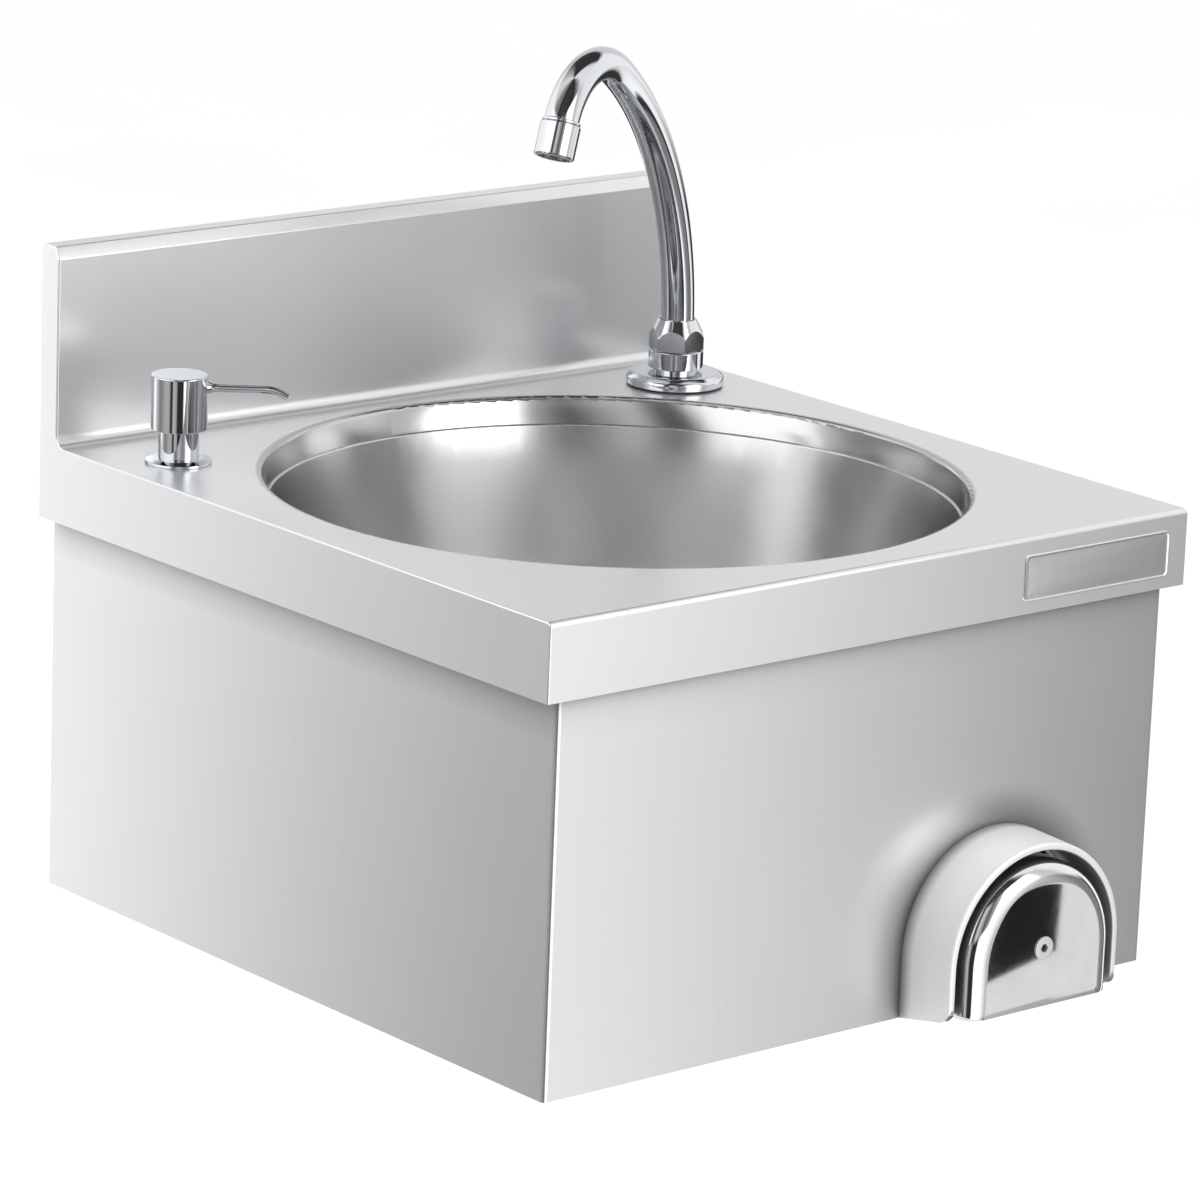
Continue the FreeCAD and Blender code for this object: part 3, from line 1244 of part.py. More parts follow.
def make_feed_pipe():
    """Bent metal pipe from the valve's side outlet, back beside the bowl and up to the tap."""
    level = value(STEM_LEVEL)
    front = -value(f"{SKIRT_FRONT} + ({OUTLET_DEPTH})")
    outlet_end = value(f"{KNEE_SIDE} + valve_radius + outlet_length")
    shank_end = value(f"{DECK} - tap_shank_length")
    nut = value("pipe_nut_height")
    tap_x = value(TAP_SIDE)
    tap_y = -value("tap_setback")
    route = [
        Vector(outlet_end + nut / 2, front, level),
        Vector(tap_x, front, level),
        Vector(tap_x, tap_y, level),
        Vector(tap_x, tap_y, shank_end - nut / 2),
    ]
    path = rounded_path(route, value("pipe_bend"))
    pipe = doc.addObject("Part::Feature", "feed_pipe")
    pipe.Shape = tube_along(path, value("pipe_radius"), value("pipe_bore"))
    keep(pipe)
    sideways = Rotation(Vector(0, 1, 0), 90)
    valve_nut = pipe_nut("pipe_nut_at_valve")
    place(valve_nut, f"{KNEE_SIDE} + valve_radius + outlet_length",
          f"-{SKIRT_FRONT} - ({OUTLET_DEPTH})", STEM_LEVEL, sideways)
    tap_nut = pipe_nut("pipe_nut_at_tap")
    upside_down = Rotation(Vector(1, 0, 0), 180)
    place(tap_nut, TAP_SIDE, "-tap_setback", f"{DECK} - tap_shank_length", upside_down)
    keep(group("pipe_nuts", [valve_nut, tap_nut]))


def pipe_nut(label):
    """Union nut: bored for the pipe, with room for the pipe's end in its first half."""
    nut = hexagon(label + "_prism", "pipe_nut", "pipe_bore", "pipe_nut_height")
    room = doc.addObject("Part::Cylinder", label + "_room")
    room.setExpression("Radius", bound("pipe_radius"))
    room.setExpression("Height", bound("pipe_nut_height / 2"))
    place(room, "0", "0", "pipe_nut_height / 2")
    finished = doc.addObject("Part::Cut", label)
    finished.Base = nut
    finished.Tool = room
    return finished


def build():
    make_deck()
    make_skirt()
    make_rail()
    make_bowl()
    make_waste()
    make_tap_base()
    make_spout()
    make_soap_pump()
    make_guard()
    make_knee_plate()
    make_knee_screw()
    make_valve()
    make_guard_screws()
    make_feed_pipe()


def check():
    """Stop if any object failed or any piece is not a sound solid."""
    doc.recompute()
    for item in doc.Objects:
        if "Invalid" in item.State or "Error" in item.State:
            raise RuntimeError(item.Name + " failed")
    for piece in PIECES:
        shape = piece.Shape
        if shape.isNull() or not shape.isValid() or not shape.Solids:
            raise RuntimeError(piece.Label + " is not a sound solid")


def export():
    os.makedirs("parts", exist_ok=True)
    for piece in PIECES:
        piece.Shape.exportStep(os.path.join("parts", piece.Label + ".step"))
        print(piece.Label, len(piece.Shape.Solids), round(piece.Shape.Volume), "mm3")


build()
check()
export()
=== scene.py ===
import bpy
import bmesh
import math
from mathutils import Matrix, Vector


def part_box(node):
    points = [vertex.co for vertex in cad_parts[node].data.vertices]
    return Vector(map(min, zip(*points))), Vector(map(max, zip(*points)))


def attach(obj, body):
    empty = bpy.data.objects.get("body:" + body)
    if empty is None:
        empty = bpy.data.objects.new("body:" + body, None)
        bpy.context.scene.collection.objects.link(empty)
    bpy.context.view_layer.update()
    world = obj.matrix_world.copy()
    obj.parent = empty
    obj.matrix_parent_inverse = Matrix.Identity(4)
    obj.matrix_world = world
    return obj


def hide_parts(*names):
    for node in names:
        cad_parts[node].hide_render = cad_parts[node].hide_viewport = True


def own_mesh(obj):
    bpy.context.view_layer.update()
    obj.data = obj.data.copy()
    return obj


# Wall-hung stainless steel hand wash sink.  Metres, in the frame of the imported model:
# +X along the wall, -Y towards the user, +Z up.  Shapes are drawn in millimetres and scaled
# once, when a piece is made.

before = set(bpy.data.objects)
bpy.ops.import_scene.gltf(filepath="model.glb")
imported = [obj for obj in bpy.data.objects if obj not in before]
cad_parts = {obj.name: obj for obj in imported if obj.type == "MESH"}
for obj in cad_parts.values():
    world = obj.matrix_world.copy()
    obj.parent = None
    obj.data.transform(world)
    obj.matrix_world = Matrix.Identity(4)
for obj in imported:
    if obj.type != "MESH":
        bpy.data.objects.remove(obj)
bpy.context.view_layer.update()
MM = 0.001
ROUND = 96      # faces round a turned piece
BODY = "basin"  # the fixed body; the others are spout, knee_push, pump_plunger and pump_top


def low(node):
    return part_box(node)[0] / MM


def high(node):
    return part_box(node)[1] / MM


def middle(node):
    return (low(node) + high(node)) / 2


def width(node):
    return (high(node) - low(node)).x


# ---- places and sizes read from the frame, in millimetres ---------------------------------

DECK = low("tap_seal").z                       # top of the deck
TAP = Matrix.Translation((middle("tap_rose").x, middle("tap_rose").y, DECK))
PUMP = Matrix.Translation((middle("pump_collar").x, middle("pump_collar").y, DECK))
BOWL = Matrix.Translation((middle("bowl").x, middle("bowl").y, 0))
PANEL = -high("knee_guard").y                  # front panel of the skirt, from the wall
STEM = middle("valve_stem")                    # the knee valve's axis
OUTWARD = Matrix.Rotation(math.pi / 2, 4, "X")   # local +Z out of the panel, local +Y up
VALVE = Matrix.Translation((STEM.x, -PANEL, STEM.z)) @ OUTWARD
GUARD_ROUND = width("knee_guard") / 2
GUARD = Matrix.Translation((STEM.x, -PANEL, high("knee_guard").z - GUARD_ROUND)) @ OUTWARD
PLATE_FACE = 38.5                              # face of the knee plate, from the panel
RIM_RADIUS = 176                               # edge of the flat deck round the bowl
CAMERA_SPOT = Vector((-1.8842, -2.4293, 0.8447))  # in metres


# ---- drawing --------------------------------------------------------------------------------

def rounded(corners, closed=True, steps=6):
    """Points of an outline; a corner's third value is the radius that rounds it."""
    points = [Vector((corner[0], corner[1])) for corner in corners]
    count = len(points)
    drawn = []
    for i, corner in enumerate(corners):
        at_end = not closed and i in (0, count - 1)
        if len(corner) < 3 or at_end:
            drawn.append(points[i])
            continue
        back = (points[i - 1] - points[i]).normalized()
        ahead = (points[(i + 1) % count] - points[i]).normalized()
        half = back.angle(ahead) / 2
        centre = points[i] + (back + ahead).normalized() * corner[2] / math.sin(half)
        start = points[i] + back * corner[2] / math.tan(half) - centre
        end = points[i] + ahead * corner[2] / math.tan(half) - centre
        sweep = start.angle_signed(end)
        for step in range(steps + 1):
            turn = Matrix.Rotation(-sweep * step / steps, 2)
            drawn.append(centre + turn @ start)
    return drawn


def put_in_scene(name, data):
    """A new object at the origin, with its place left to its mesh."""
    thing = bpy.data.objects.new(name, data)
    bpy.context.scene.collection.objects.link(thing)
    return thing


def spoke(place, angle, profile):
    """A profile of radius and height, turned round the local Z to one angle."""
    turn = place @ Matrix.Rotation(angle, 4, "Z")
    return [turn @ Vector((radius, 0, level)) for radius, level in profile]


def hexagon_reach(half_flats, angle):
    """From the middle of a hexagon to its side, at an angle."""
    from_flat = (angle % (math.pi / 3)) - math.pi / 6
    return half_flats / math.cos(from_flat)


def skin(name, rows, wrap_rows=True, wrap_columns=True, caps=False, lid=False):
    """A mesh through rows of points, in millimetres, with its faces turned outwards.  Caps
    close the first and last row, and a lid closes the last point of every row."""
    work = bmesh.new()
    grid = []
    for row in rows:
        grid.append([work.verts.new(Vector(point) * MM) for point in row])
    down = len(grid) if wrap_rows else len(grid) - 1
    across = len(grid[0]) if wrap_columns else len(grid[0]) - 1
    for i in range(down):
        for j in range(across):
            after = grid[(i + 1) % len(grid)]
            beside = (j + 1) % len(grid[0])
            work.faces.new((grid[i][j], grid[i][beside], after[beside], after[j]))
    if caps:
        work.faces.new(grid[0])
        work.faces.new(grid[-1])
    if lid:
        work.faces.new([row[-1] for row in grid])
    bmesh.ops.remove_doubles(work, verts=work.verts, dist=0.002 * MM)
    flat = [face for face in work.faces if face.calc_area() < 1e-14]
    bmesh.ops.delete(work, geom=flat, context="FACES_ONLY")
    bmesh.ops.recalc_face_normals(work, faces=work.faces)
    mesh = bpy.data.meshes.new(name)
    work.to_mesh(mesh)
    work.free()
    return mesh


def finish_piece(name, mesh, material, body, nodes=(), crease=32, sheet=False):
    """Make the object, shade it, hang it on the body that it rides on, and hide the solids that
    it stands for.
    Faces of folded sheet that look straight along an axis are shaded flat."""
    piece = put_in_scene(name, mesh)
    mesh.materials.clear()
    mesh.materials.append(material)
    mesh.polygons.foreach_set("use_smooth", [True] * len(mesh.polygons))
    mesh.set_sharp_from_angle(angle=math.radians(crease))
    if sheet:
        straight = 0.99999
        for polygon in mesh.polygons:
            polygon.use_smooth = max(abs(part) for part in polygon.normal) < straight
    else:
        even = piece.modifiers.new("even_normals", "WEIGHTED_NORMAL")
        even.keep_sharp = True
    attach(piece, body)
    if nodes:
        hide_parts(*nodes)
    return piece


def turned(name, corners, place, material, body, nodes=()):
    """A piece from the lathe: radius and height of each corner, round the local Z."""
    profile = rounded(corners)
    rows = [spoke(place, 2 * math.pi * step / ROUND, profile) for step in range(ROUND)]
    return finish_piece(name, skin(name, rows), material, body, nodes)


def pipe(name, path, bore, place, material, body, nodes=(), faces=48):
    """An open tube along a path of (point, direction, radius), with its bore."""
    stations = list(path)
    for point, direction, radius in reversed(path):
        stations.append((point, direction, bore))
    rows = []
    for point, direction, radius in stations:
        side = direction.cross(Vector((0, 1, 0)))
        if side.length < 0.1:
            side = direction.cross(Vector((0, 0, 1)))
        side.normalize()
        across = direction.cross(side).normalized()
        ring = []
        for step in range(faces):
            angle = 2 * math.pi * step / faces
            offset = side * math.cos(angle) + across * math.sin(angle)
            ring.append(place @ (point + offset * radius))
        rows.append(ring)
    return finish_piece(name, skin(name, rows), material, body, nodes)


def hexagon_nut(name, half_flats, bore, height, cone, top, place, material, body, nodes=()):
    """Hexagon nut whose corners are turned off to a cone that ends at radius top."""
    faces = 144
    edge = 0.35
    corner = half_flats / math.cos(math.pi / 6)
    foot_round = corner - edge * 1.5
    slope = (corner - top) / cone
    rows = []
    for step in range(faces):
        angle = 2 * math.pi * step / faces
        side = hexagon_reach(half_flats, angle)
        shoulder = height - cone + (corner - side) / slope
        rows.append(spoke(place, angle, [
            (bore, 0), (min(side, foot_round), 0), (side, edge),
            (side, shoulder - edge), (side - edge * 0.4, shoulder + edge),
            (top, height), (bore, height),
        ]))
    return finish_piece(name, skin(name, rows), material, body, nodes, crease=14)


def own_solid(node, material, body, crease=30, sheet=False):
    """A node's own solid with its triangles joined, so that its curves shade smoothly."""
    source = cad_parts[node]
    work = bmesh.new()
    work.from_mesh(source.data)
    bmesh.ops.remove_doubles(work, verts=work.verts, dist=0.005 * MM)
    mesh = bpy.data.meshes.new(node + "_finished")
    work.to_mesh(mesh)
    work.free()
    return finish_piece(node + "_finished", mesh, material, body, (node,), crease, sheet)


# ---- materials ------------------------------------------------------------------------------

def linear(hex_colour):
    """An sRGB hex value as linear red, green, blue and alpha."""
    values = []
    for start in (1, 3, 5):
        part = int(hex_colour[start:start + 2], 16) / 255
        values.append(part / 12.92 if part <= 0.04045 else ((part + 0.055) / 1.055) ** 2.4)
    return (*values, 1)


def add(tree, kind, inputs, **settings):
    """Add a node; an input takes a value, or the output that feeds it."""
    node = tree.nodes.new(kind)
    for name, setting in settings.items():
        setattr(node, name, setting)
    for name, source in inputs.items():
        if isinstance(source, bpy.types.NodeSocket):
            tree.links.new(source, node.inputs[name])
        else:
            node.inputs[name].default_value = source
    return node


def new_material(name):
    """A material with only its output, and the object's own coordinates."""
    material = bpy.data.materials.new(name)
    material.use_nodes = True
    tree = material.node_tree
    tree.nodes.clear()
    place = add(tree, "ShaderNodeTexCoord", {}).outputs["Object"]
    return material, tree, place


def close_material(tree, shader):
    add(tree, "ShaderNodeOutputMaterial", {"Surface": shader.outputs[0]})


def tinted(tree, factor, dark, light):
    """A colour between two hex values, by a pattern's 0 to 1."""
    mixed = add(tree, "ShaderNodeMix", {}, data_type="RGBA")
    tree.links.new(factor, mixed.inputs[0])
    mixed.inputs[6].default_value = linear(dark)
    mixed.inputs[7].default_value = linear(light)
    return mixed.outputs[2]


def between(tree, factor, least, most):
    """A pattern's 0 to 1 stretched to least to most."""
    spread = add(tree, "ShaderNodeMapRange", {"Value": factor, "To Min": least, "To Max": most})
    return spread.outputs["Result"]


def shaded(tree, tint, share):
    """A colour darkened by a share that a pattern gives."""
    return add(tree, "ShaderNodeVectorMath", {0: tint, 1: share},
               operation="MULTIPLY").outputs[0]


def handled_roughness(tree, place, lines, least, most, patch_mm):
    """Roughness that follows the marks of the tool, with broad faint patches from handling."""
    patches = add(tree, "ShaderNodeTexNoise",
                  {"Vector": place, "Scale": 1 / (patch_mm * MM), "Detail": 2.0})
    by_line = between(tree, lines, least, most)
    by_patch = between(tree, patches.outputs[0], -0.02, 0.03)
    return add(tree, "ShaderNodeMath", {0: by_line, 1: by_patch}, operation="ADD").outputs[0]


def grind_lines(tree, place, along):
    """Fine scratches one way: noise squeezed across the grind and drawn out along it."""
    line_mm = 0.5
    run_mm = 60
    scale = {axis: 1 / (line_mm * MM) for axis in "XYZ"}
    scale[along] = 1 / (run_mm * MM)
    stretched = add(tree, "ShaderNodeMapping",
                    {"Vector": place, "Scale": (scale["X"], scale["Y"], scale["Z"])})
    lines = add(tree, "ShaderNodeTexNoise",
                {"Vector": stretched.outputs[0], "Scale": 1.0, "Detail": 3.0, "Roughness": 0.6})
    return lines.outputs[0]


def from_bowl_axis(tree, place):
    """How far a point lies from the upright axis of the bowl, and its height."""
    axis = BOWL.translation * MM
    centred = add(tree, "ShaderNodeMapping", {"Vector": place, "Location": (-axis.x, -axis.y, 0)})
    apart = add(tree, "ShaderNodeSeparateXYZ", {"Vector": centred.outputs[0]})
    flat = add(tree, "ShaderNodeCombineXYZ",
               {"X": apart.outputs["X"], "Y": apart.outputs["Y"], "Z": 0.0})
    radius = add(tree, "ShaderNodeVectorMath", {0: flat.outputs[0]}, operation="LENGTH")
    return radius.outputs["Value"], apart.outputs["Z"]


def satin_stainless(name, dark, light, least, most, crease_shade_mm=0, metallic=1.0, collar_mm=0):
    """Stainless sheet ground with a fine belt, up and down on upright faces and front to back
    on level ones.  The real scratches are 0.1 mm apart; they are drawn at 0.5 mm so that they
    show.  With a crease distance, the colour is darkened by ambient occlusion in the inside
    corners: painted shade.  Metallic below 1 scatters part of the light as a matt face does:
    little on ground sheet, more on a blasted one.  With a collar radius, the drawn collar inside
    it is buffed after welding, so its reflections are sharper, and its colour is darkened there:
    a painted shade band just inside the rim."""
    level_from = 0.7
    collar_rough = 0.16
    collar_painted_shade = 0.72
    painted_shade_power = 1.8
    material, tree, place = new_material(name)
    facing = add(tree, "ShaderNodeNewGeometry", {}).outputs["Normal"]
    upwards = add(tree, "ShaderNodeSeparateXYZ", {"Vector": facing}).outputs["Z"]
    steep = add(tree, "ShaderNodeMath", {0: upwards}, operation="ABSOLUTE").outputs[0]
    is_level = add(tree, "ShaderNodeMath", {0: steep, 1: level_from}, operation="GREATER_THAN")
    lines = add(tree, "ShaderNodeMix",
                {"Factor": is_level.outputs[0], "A": grind_lines(tree, place, "Z"),
                 "B": grind_lines(tree, place, "Y")}).outputs[0]
    rough = handled_roughness(tree, place, lines, least, most, patch_mm=90)
    tint = tinted(tree, lines, dark, light)
    if collar_mm:
        radius, height = from_bowl_axis(tree, place)
        buffed = add(tree, "ShaderNodeMapRange",
                     {"Value": radius, "From Min": (collar_mm + 0.5) * MM,
                      "From Max": (collar_mm - 0.5) * MM}).outputs["Result"]
        rough = add(tree, "ShaderNodeMix",
                    {"Factor": buffed, "A": rough, "B": collar_rough}).outputs[0]
        metallic = between(tree, buffed, metallic, 1.0)
        # The buffed mask also paints shade: the collar's colour is darkened, a dark band just
        # inside the rim.
        tint = shaded(tree, tint, between(tree, buffed, 1.0, collar_painted_shade))
    # Painted shade: ambient occlusion darkens the colour in inside corners, under folds and round
    # the guard.
    if crease_shade_mm:
        open_sky = add(tree, "ShaderNodeAmbientOcclusion", {"Distance": crease_shade_mm * MM},
                       samples=8)
        unshaded_share = add(tree, "ShaderNodeMath", {0: open_sky.outputs["AO"], 1: painted_shade_power},
                    operation="POWER")
        tint = shaded(tree, tint, unshaded_share.outputs[0])
    bump = add(tree, "ShaderNodeBump", {"Height": lines, "Strength": 0.05, "Distance": 0.02 * MM})
    steel = add(tree, "ShaderNodeBsdfPrincipled",
                {"Base Color": tint, "Metallic": metallic, "Roughness": rough,
                 "Normal": bump.outputs[0]})
    close_material(tree, steel)
    return material


def spun_stainless():
    """The bowl: pressed, then buffed while it turns, which leaves faint rings round its axis
    and softer, darker reflections than the flat sheet."""
    ring_mm = 0.8
    material, tree, place = new_material("spun_stainless_bowl")
    radius, height = from_bowl_axis(tree, place)
    ring = add(tree, "ShaderNodeCombineXYZ", {"X": radius, "Y": height, "Z": 0.0})
    lines = add(tree, "ShaderNodeTexNoise",
                {"Vector": ring.outputs[0], "Scale": 1 / (ring_mm * MM), "Detail": 2.0})
    rough = handled_roughness(tree, place, lines.outputs[0], 0.19, 0.23, patch_mm=60)
    bump = add(tree, "ShaderNodeBump",
               {"Height": lines.outputs[0], "Strength": 0.05, "Distance": 0.02 * MM})
    steel = add(tree, "ShaderNodeBsdfPrincipled",
                {"Base Color": linear("#C4C4C5"), "Metallic": 1.0, "Roughness": rough,
                 "Normal": bump.outputs[0]})
    close_material(tree, steel)
    return material


def mirror_metal(name, hex_colour, least, most, swirl_mm):
    """A polished metal: nearly a mirror, with faint buffing marks in its roughness."""
    material, tree, place = new_material(name)
    swirl = add(tree, "ShaderNodeTexNoise",
                {"Vector": place, "Scale": 1 / (swirl_mm * MM), "Detail": 4.0, "Distortion": 1.5})
    rough = between(tree, swirl.outputs[0], least, most)
    metal = add(tree, "ShaderNodeBsdfPrincipled",
                {"Base Color": linear(hex_colour), "Metallic": 1.0, "Roughness": rough})
    close_material(tree, metal)
    return material


def turned_brass():
    """Yellow brass from the lathe: tool rings that catch light, and dull patches of handling."""
    ring_mm = 0.6
    patch_mm = 12
    material, tree, place = new_material("turned_brass")
    rings = add(tree, "ShaderNodeTexWave",
                {"Vector": place, "Scale": 1 / (ring_mm * MM) / math.tau, "Distortion": 1.0},
                bands_direction="Z")
    patch = add(tree, "ShaderNodeTexNoise",
                {"Vector": place, "Scale": 1 / (patch_mm * MM), "Detail": 3.0})
    tint = tinted(tree, patch.outputs[0], "#B8924A", "#D3B26A")
    rough = between(tree, patch.outputs[0], 0.22, 0.42)
    bump = add(tree, "ShaderNodeBump",
               {"Height": rings.outputs[1], "Strength": 0.15, "Distance": 0.03 * MM})
    brass = add(tree, "ShaderNodeBsdfPrincipled",
                {"Base Color": tint, "Metallic": 1.0, "Roughness": rough,
                 "Normal": bump.outputs[0]})
    close_material(tree, brass)
    return material


def moulded(name, dark, light, least, most, grain_mm, clear=0.0):
    """A moulded plastic or rubber: an even colour with a fine mould grain and a soft sheen."""
    material, tree, place = new_material(name)
    grain = add(tree, "ShaderNodeTexNoise",
                {"Vector": place, "Scale": 1 / (grain_mm * MM), "Detail": 3.0})
    tint = tinted(tree, grain.outputs[0], dark, light)
    rough = between(tree, grain.outputs[0], least, most)
    bump = add(tree, "ShaderNodeBump",
               {"Height": grain.outputs[0], "Strength": 0.1, "Distance": 0.05 * MM})
    body = add(tree, "ShaderNodeBsdfPrincipled",
               {"Base Color": tint, "Roughness": rough, "Normal": bump.outputs[0],
                "Transmission Weight": clear, "IOR": 1.49})
    close_material(tree, body)
    return material


# Deck and upstand: belt ground, so reflections run out into soft upright streaks, with painted
# shade on the buffed collar round the bowl.
SATIN = satin_stainless("satin_stainless_sheet", "#D4D5D6", "#DEDFE0", 0.25, 0.35,
                        metallic=0.85, collar_mm=RIM_RADIUS)
# Skirt: the same sheet, a little greyer, with painted shade where it meets the fold and the
# guard.
PANEL_SATIN = satin_stainless("satin_stainless_panel", "#D0D1D2", "#DADBDC", 0.25, 0.35,
                              crease_shade_mm=22)
# Guard: bead blasted, nearly white and without a clear reflection, with painted shade in its
# inside corners.
BLASTED = satin_stainless("blasted_stainless_guard", "#E2E3E4", "#EAEBEC", 0.45, 0.55,
                          crease_shade_mm=8, metallic=0.5)
# Screw: tumbled, which leaves a pale grey with a weak glint, and painted shade in its socket.
TUMBLED = satin_stainless("tumbled_stainless_screw", "#D8D9DA", "#E4E5E6", 0.32, 0.42,
                          crease_shade_mm=3, metallic=0.7)
# Bare plate: finely brushed, so it is brighter and sharper than the fold that it sits on.
PLATE_SATIN = satin_stainless("brushed_stainless_plate", "#E4E5E6", "#EDEEEF", 0.14, 0.2)
SPUN = spun_stainless()
# Knee plate and waste: buffed stainless, a mirror with a very slight blur.
POLISHED = mirror_metal("polished_stainless", "#D6D7D8", 0.03, 0.07, 6)
# Tap and pump: bright chrome plate, a sharper and slightly bluer mirror.
CHROME = mirror_metal("chrome_plate_on_brass", "#CCCED1", 0.02, 0.05, 9)
BRASS = turned_brass()
# Seals: moulded nitrile rubber, dull black.
RUBBER = moulded("black_nitrile_rubber", "#141414", "#232323", 0.55, 0.7, 0.6)
# Washers and small nuts: moulded acetal, mid grey with a waxy sheen.
ACETAL = moulded("grey_acetal", "#74777A", "#868A8D", 0.35, 0.5, 0.8)
# Bottle, pump cylinder and tubes: blown polypropylene, milky and slightly see-through.
MILKY = moulded("milky_polypropylene", "#D9DBD8", "#E8EAE7", 0.28, 0.4, 1.0, clear=0.25)


# ---- wound wire and threads -----------------------------------------------------------------

def winding_tree():
    """Geometry nodes: a wire wound round the Z axis.  With three corners it is a thread."""
    points_a_turn = 40
    tree = bpy.data.node_groups.new("winding", "GeometryNodeTree")
    face = tree.interface
    face.new_socket("Geometry", in_out="INPUT", socket_type="NodeSocketGeometry")
    for name in ("Radius", "Turns", "Height", "Wire"):
        face.new_socket(name, in_out="INPUT", socket_type="NodeSocketFloat")
    face.new_socket("Corners", in_out="INPUT", socket_type="NodeSocketInt")
    face.new_socket("Material", in_out="INPUT", socket_type="NodeSocketMaterial")
    face.new_socket("Geometry", in_out="OUTPUT", socket_type="NodeSocketGeometry")
    given = tree.nodes.new("NodeGroupInput").outputs
    spiral = add(tree, "GeometryNodeCurveSpiral",
                 {"Resolution": points_a_turn, "Rotations": given["Turns"],
                  "Start Radius": given["Radius"], "End Radius": given["Radius"],
                  "Height": given["Height"]})
    section = add(tree, "GeometryNodeCurvePrimitiveCircle",
                  {"Resolution": given["Corners"], "Radius": given["Wire"]})
    wire = add(tree, "GeometryNodeCurveToMesh",
               {"Curve": spiral.outputs[0], "Profile Curve": section.outputs[0],
                "Fill Caps": True})
    real = add(tree, "GeometryNodeRealizeInstances", {"Geometry": wire.outputs[0]})
    painted = add(tree, "GeometryNodeSetMaterial",
                  {"Geometry": real.outputs[0], "Material": given["Material"]})
    add(tree, "NodeGroupOutput", {"Geometry": painted.outputs[0]})
    return tree


WINDING = winding_tree()


def wound(name, sizes, corners, place, material, body, nodes=()):
    """A spring or a thread, as a plain mesh; sizes are radius, turns, height and wire."""
    seed = put_in_scene(name + "_seed", bpy.data.meshes.new(name + "_seed"))
    modifier = seed.modifiers.new("winding", "NODES")
    modifier.node_group = WINDING
    radius, turns, height, wire = sizes
    values = {"Radius": radius * MM, "Turns": turns, "Height": height * MM, "Wire": wire * MM,
              "Corners": corners, "Material": material}
    for socket in WINDING.interface.items_tree:
        if socket.in_out == "INPUT" and socket.name in values:
            modifier[socket.identifier] = values[socket.name]
    seed_in_view = seed.evaluated_get(bpy.context.evaluated_depsgraph_get())
    mesh = bpy.data.meshes.new_from_object(seed_in_view)
    seed.modifiers.clear()
    bpy.data.objects.remove(seed)
    home = place.copy()
    home.translation = place.translation * MM
    mesh.transform(home)
    return finish_piece(name, mesh, material, body, nodes)


# ---- deck, skirt and bowl -------------------------------------------------------------------

def make_sheet_metal():
    own_solid("deck_and_upstand", SATIN, BODY, crease=40, sheet=True)
    own_solid("skirt", PANEL_SATIN, BODY, crease=40, sheet=True)
    own_solid("rear_rail", SATIN, BODY, crease=40, sheet=True)
    own_solid("bowl", SPUN, BODY, crease=40)


def make_bare_plate():
    """Thin pressed plate on the front fold, left bare: a raised rim and a slightly domed face."""
    half_length = 48
    half_height = 11.5
    corner = 3
    dome = 0.5
    across = 139.5
    up = 109.5
    centre = Vector((across, low("deck_and_upstand").y, up))
    arc = 6                      # steps round a corner
    side_steps = (16, 4, 16, 4)  # steps along each side
    rows = []
    for inset, out in ((0, 0), (0, 0.5), (0.2, 0.75), (0.5, 0.8), (0.8, 0.7), (1.1, 0.5),
                       (1.6, 0.45), (3, 0.45), (6, 0.45), (9, 0.45)):
        half_x = half_length - inset
        half_z = half_height - inset
        round_by = max(corner - inset, 0.3)
        outline = rounded([
            (-half_x, -half_z, round_by), (half_x, -half_z, round_by),
            (half_x, half_z, round_by), (-half_x, half_z, round_by),
        ], steps=arc)
        inside = min(max((inset - 2) / 3, 0), 1)
        ring = []
        for corner_number, steps in enumerate(side_steps):
            first = corner_number * (arc + 1)
            ring += outline[first:first + arc + 1]
            start = outline[first + arc]
            end = outline[(first + arc + 1) % len(outline)]
            ring += [start.lerp(end, step / steps) for step in range(1, steps)]
        rows.append([
            centre + Vector((point.x, -out - inside * dome * (1 - (point.x / half_length) ** 2),
                             point.y))
            for point in ring
        ])
    for end in (0, -1):
        seam = [Vector((point.x, point.y, centre.z)) for point in rows[end]]
        rows.insert(0 if end == 0 else len(rows), seam)
    mesh = skin("bare_plate", rows, wrap_rows=False)
    piece = finish_piece("bare_plate", mesh, PLATE_SATIN, BODY)


# ---- tap ------------------------------------------------------------------------------------

def swan_neck(start):
    """The spout's centreline: straight, a long bend, then a tight one, in an upright plane."""
    rise = 30
    long_radius = 173
    long_turn = 58
    crook_radius = 40
    crook_turn = 100
    path = [(Vector((0, 0, start)), Vector((0, 0, 1)))]
    at = Vector((0, 0, rise))
    heading = 0.0
    for radius, turn, steps in ((long_radius, long_turn, 48), (crook_radius, crook_turn, 56)):
        centre = at + radius * Vector((math.cos(heading), 0, -math.sin(heading)))
        first = heading
        for step in range(steps + 1):
            angle = first + math.radians(turn) * step / steps
            point = centre + radius * Vector((-math.cos(angle), 0, math.sin(angle)))
            path.append((point, Vector((math.sin(angle), 0, math.cos(angle)))))
        heading = first + math.radians(turn)
        at = path[-1][0]
    return path


